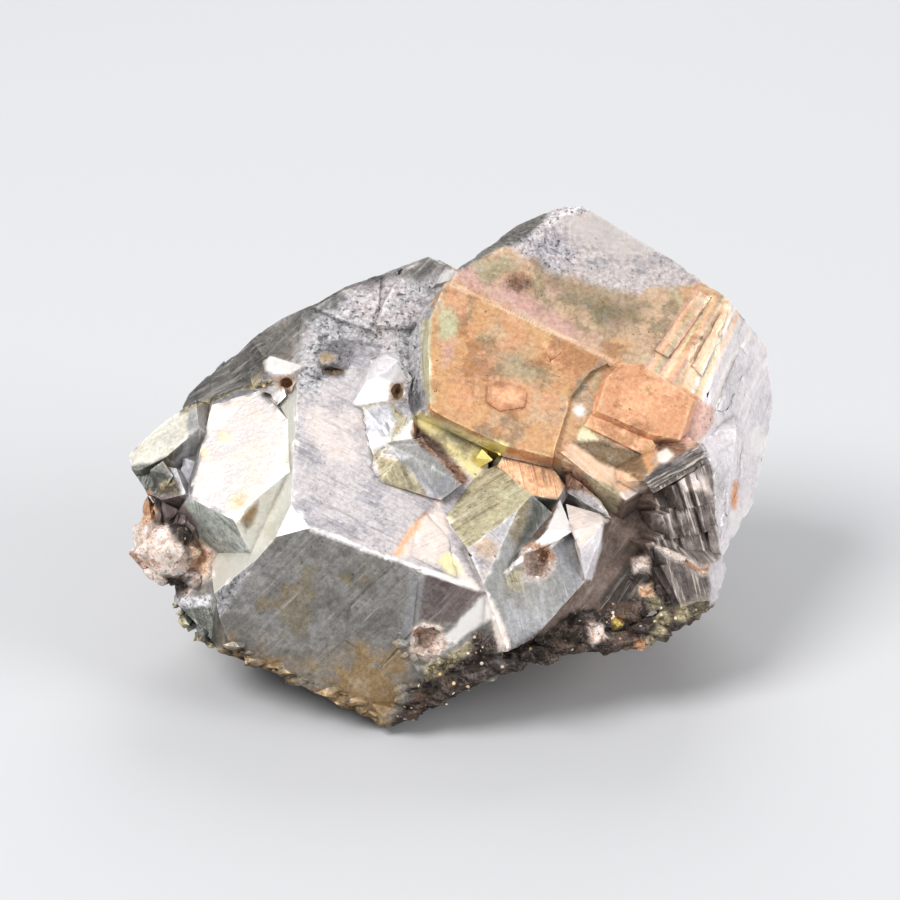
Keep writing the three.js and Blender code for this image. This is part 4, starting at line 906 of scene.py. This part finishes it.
# How strong the grain, veins and pinholes are, and how many pinholes there are.
GRAIN_SHARE = 0.5
GRAIN_LEAST = 0.1
CRUST_VEIN_SHARE = 0.8
FACE_VEIN_SHARE = 0.22
PIN_SHARE = 0.85
PIN_THRESHOLD = 0.71
PIN_THRESHOLD_FALL = -0.14

METAL_SHARE = 0.5
CLOUD_ROUGHNESS = 0.16
GLINT_ROUGHNESS = -0.3

# Heights of the fine relief, as parts of BUMP_METRES.
BUMP_METRES = 0.00018
BUMP_STRENGTH = 0.5
LINE_HEIGHT = 0.9
CLOUD_HEIGHT = 0.4
BLOTCH_HEIGHT = 0.5
PIN_DEPTH = 0.35
CRUST_GRAIN_HEIGHT = 1.6
FACE_GRAIN_HEIGHT = 0.35


def pyrite_material():
    """Tarnished metal: painted tint, mottling, specks, growth streaks and their bump."""
    material = bpy.data.materials.new("pyrite")
    material.use_nodes = True
    tree = material.node_tree
    nodes = tree.nodes
    shader = nodes["Principled BSDF"]
    shader.inputs["Metallic"].default_value = METAL_SHARE

    def node(kind, **values):
        made = nodes.new(kind)
        for key, value in values.items():
            setattr(made, key, value)
        return made

    def link(source, target):
        tree.links.new(source, target)

    def value_of(source, slot):
        if isinstance(source, (int, float)):
            slot.default_value = source
        else:
            link(source, slot)

    def math_node(operation, *sources):
        made = node("ShaderNodeMath", operation=operation)
        for source, slot in zip(sources, made.inputs):
            value_of(source, slot)
        return made.outputs[0]

    def product(a, b):
        return math_node("MULTIPLY", a, b)

    def product_plus(a, b, c):
        return math_node("MULTIPLY_ADD", a, b, c)

    def step(source, low, high, strength):
        made = node("ShaderNodeMapRange", interpolation_type="SMOOTHSTEP")
        link(source, made.inputs["Value"])
        made.inputs["From Min"].default_value = low
        made.inputs["From Max"].default_value = high
        made.inputs["To Min"].default_value = 0
        made.inputs["To Max"].default_value = strength
        return made.outputs["Result"]

    def noise_node(vector, scale, detail, roughness=0.55):
        made = node("ShaderNodeTexNoise")
        link(vector, made.inputs["Vector"])
        made.inputs["Scale"].default_value = scale
        made.inputs["Detail"].default_value = detail
        made.inputs["Roughness"].default_value = roughness
        return made.outputs["Fac"]

    def scaled(vector, scale):
        made = node("ShaderNodeVectorMath", operation="MULTIPLY")
        link(vector, made.inputs[0])
        made.inputs[1].default_value = scale
        return made.outputs[0]

    def mixed(factor, a, b, blend="MIX"):
        made = node("ShaderNodeMix", data_type="RGBA", blend_type=blend)
        value_of(factor, made.inputs["Factor"])
        for source, slot in ((a, made.inputs["A"]), (b, made.inputs["B"])):
            if isinstance(source, tuple):
                slot.default_value = (*source, 1)
            else:
                link(source, slot)
        return made.outputs["Result"]

    def darkened(under, share, shade):
        return mixed(share, under, shade, "MULTIPLY")

    def brightened(under, share, light):
        return mixed(share, under, light, "SCREEN")

    place = node("ShaderNodeTexCoord").outputs["Object"]
    tint = node("ShaderNodeAttribute", attribute_name="tint").outputs["Color"]
    stain = node("ShaderNodeAttribute", attribute_name="stain").outputs["Color"]
    finish = node("ShaderNodeAttribute", attribute_name="finish")
    parts = node("ShaderNodeSeparateColor")
    link(finish.outputs["Color"], parts.inputs[0])
    roughness, speck, streak = parts.outputs
    mottle = finish.outputs["Alpha"]
    grain = node("ShaderNodeAttribute", attribute_name="grain").outputs["Vector"]
    crusty = step(roughness, *CRUST_STEP)

    # Stains: ragged blotches of a second colour, soft clouds of shade and fine grain.
    clouds = noise_node(place, CLOUD_SCALE, 6, 0.62)
    blotches = noise_node(scaled(place, BLOTCH_STRETCH), BLOTCH_SCALE, 8, 0.70)
    grains = noise_node(place, GRAIN_SCALE, 6, 0.74)
    colour = mixed(product(mottle, step(blotches, *STAIN_STEP)), tint, stain)
    colour = darkened(colour, product(mottle, step(clouds, *CLOUD_STEP)), CLOUD_SHADE)
    colour = brightened(colour, product(mottle, step(blotches, *BARE_STEP)), BARE_LIGHT)
    grain_share = product_plus(speck, GRAIN_SHARE, GRAIN_LEAST)
    colour = mixed(grain_share, colour, step(grains, *GRAIN_STEP), "OVERLAY")

    # Veins: thin wandering lines, strong in the crust and faint on the faces.
    vein_noise = noise_node(place, VEIN_SCALE, 6, 0.66)
    veins = step(math_node("ABSOLUTE", math_node("SUBTRACT", vein_noise, 0.5)), *VEIN_STEP)
    colour = mixed(product(veins, product(crusty, CRUST_VEIN_SHARE)), colour, stain)
    colour = brightened(colour, product(veins, product(mottle, FACE_VEIN_SHARE)), VEIN_LIGHT)

    # Streaks: fine lines, short dashes, broad bands and scratches along the growth direction.
    lines = noise_node(scaled(grain, LINE_REPEAT), 1.0, 5, 0.72)
    dashes = noise_node(scaled(grain, DASH_REPEAT), 1.0, 5, 0.70)
    bands = noise_node(scaled(grain, BAND_REPEAT), 1.0, 3)
    scratches = noise_node(scaled(grain, SCRATCH_REPEAT), 1.0, 2)
    colour = darkened(colour, product(streak, step(lines, *LINE_STEP)), LINE_SHADE)
    colour = darkened(colour, product(streak, step(dashes, *DASH_STEP)), DASH_SHADE)
    colour = darkened(colour, product(streak, step(bands, *BAND_STEP)), BAND_SHADE)
    colour = brightened(colour, product(streak, step(lines, *RIDGE_STEP)), RIDGE_LIGHT)
    colour = brightened(colour, step(scratches, *SCRATCH_STEP), SCRATCH_LIGHT)
    pale_lines = product(step(streak, *LAMINA_STEP), step(lines, *PALE_LINE_STEP))
    colour = mixed(pale_lines, colour, stain)

    # Specks: dark pinholes everywhere, and pale glints in the crust.
    pin = noise_node(place, PIN_SCALE, 4, 0.66)
    threshold = product_plus(speck, PIN_THRESHOLD_FALL, PIN_THRESHOLD)
    pins = step(math_node("SUBTRACT", pin, threshold), *PIN_STEP)
    colour = darkened(colour, product(pins, PIN_SHARE), PIN_SHADE)
    cells = node("ShaderNodeTexVoronoi")
    link(place, cells.inputs["Vector"])
    cells.inputs["Scale"].default_value = GLINT_SCALE
    chance = node("ShaderNodeSeparateColor")
    link(cells.outputs["Color"], chance.inputs[0])
    dots = step(cells.outputs["Distance"], *GLINT_SIZE_STEP)
    chosen = step(chance.outputs[0], *GLINT_CHANCE_STEP)
    glints = product(crusty, product(dots, chosen))
    colour = mixed(glints, colour, mixed(chance.outputs[1], PALE_GLINT, GOLD_GLINT))
    link(colour, shader.inputs["Base Color"])

    rough = product_plus(step(clouds, *CLOUD_ROUGH_STEP), CLOUD_ROUGHNESS, roughness)
    rough = product_plus(glints, GLINT_ROUGHNESS, rough)
    link(rough, shader.inputs["Roughness"])

    height = product_plus(product(lines, streak), LINE_HEIGHT, product(clouds, CLOUD_HEIGHT))
    height = product_plus(blotches, product(mottle, BLOTCH_HEIGHT), height)
    height = math_node("SUBTRACT", height, product(pins, PIN_DEPTH))
    height = product_plus(grains, product_plus(crusty, CRUST_GRAIN_HEIGHT, FACE_GRAIN_HEIGHT), height)
    bump = node("ShaderNodeBump")
    bump.inputs["Strength"].default_value = BUMP_STRENGTH
    bump.inputs["Distance"].default_value = BUMP_METRES
    link(height, bump.inputs["Height"])
    link(bump.outputs["Normal"], shader.inputs["Normal"])
    return material


mesh.materials.append(pyrite_material())

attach(piece, "root")
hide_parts("pyrite_cluster")

# Floor, lights and camera, in metres and watts.
FLOOR_HALF = 4
FLOOR_COLOUR = (0.52, 0.52, 0.53, 1)
FLOOR_ROUGHNESS = 0.8
LIGHTS = (
    ("key", (-0.28, -0.16, 0.42), 0.26, 2.6),
    ("right_fill", (0.36, -0.12, 0.2), 0.24, 1.0),
    ("back", (0.05, 0.4, 0.35), 0.3, 1.2),
)
LIGHT_TARGET = (0, 0, 0.012)
SKY_COLOUR = (0.8, 0.82, 0.85, 1)
SKY_STRENGTH = 0.5
SENSOR_MM = 36
LENS_MM = 96
CLIP_START = 0.01

floor_mesh = bpy.data.meshes.new("floor")
corners = [(x * FLOOR_HALF, y * FLOOR_HALF, 0) for x, y in ((-1, -1), (1, -1), (1, 1), (-1, 1))]
floor_mesh.from_pydata(corners, [], [(0, 1, 2, 3)])
floor = bpy.data.objects.new("floor", floor_mesh)
bpy.context.collection.objects.link(floor)
pale = bpy.data.materials.new("pale_floor")
pale.use_nodes = True
pale_shader = pale.node_tree.nodes["Principled BSDF"]
pale_shader.inputs["Base Color"].default_value = FLOOR_COLOUR
pale_shader.inputs["Roughness"].default_value = FLOOR_ROUGHNESS
floor_mesh.materials.append(pale)


def soft_light(name, place, size, power):
    light = bpy.data.lights.new(name, "AREA")
    light.shape = "DISK"
    light.size = size
    light.energy = power
    lamp = bpy.data.objects.new(name, light)
    lamp.location = place
    aim = Vector(LIGHT_TARGET) - Vector(place)
    lamp.rotation_euler = aim.to_track_quat("-Z", "Y").to_euler()
    bpy.context.collection.objects.link(lamp)


for light_row in LIGHTS:
    soft_light(*light_row)
world = bpy.data.worlds.new("studio")
world.use_nodes = True
sky = world.node_tree.nodes["Background"]
sky.inputs["Color"].default_value = SKY_COLOUR
sky.inputs["Strength"].default_value = SKY_STRENGTH
bpy.context.scene.world = world
bpy.context.scene.view_settings.view_transform = "Standard"

camera_data = bpy.data.cameras.new("camera")
camera_data.sensor_width = SENSOR_MM
camera_data.lens = LENS_MM
camera_data.clip_start = CLIP_START
camera = bpy.data.objects.new("camera", camera_data)
camera.location = EYE_MM / 1000
camera.rotation_euler = (math.radians(90) - LOOK_DOWN, 0, 0)
bpy.context.collection.objects.link(camera)
bpy.context.scene.camera = camera
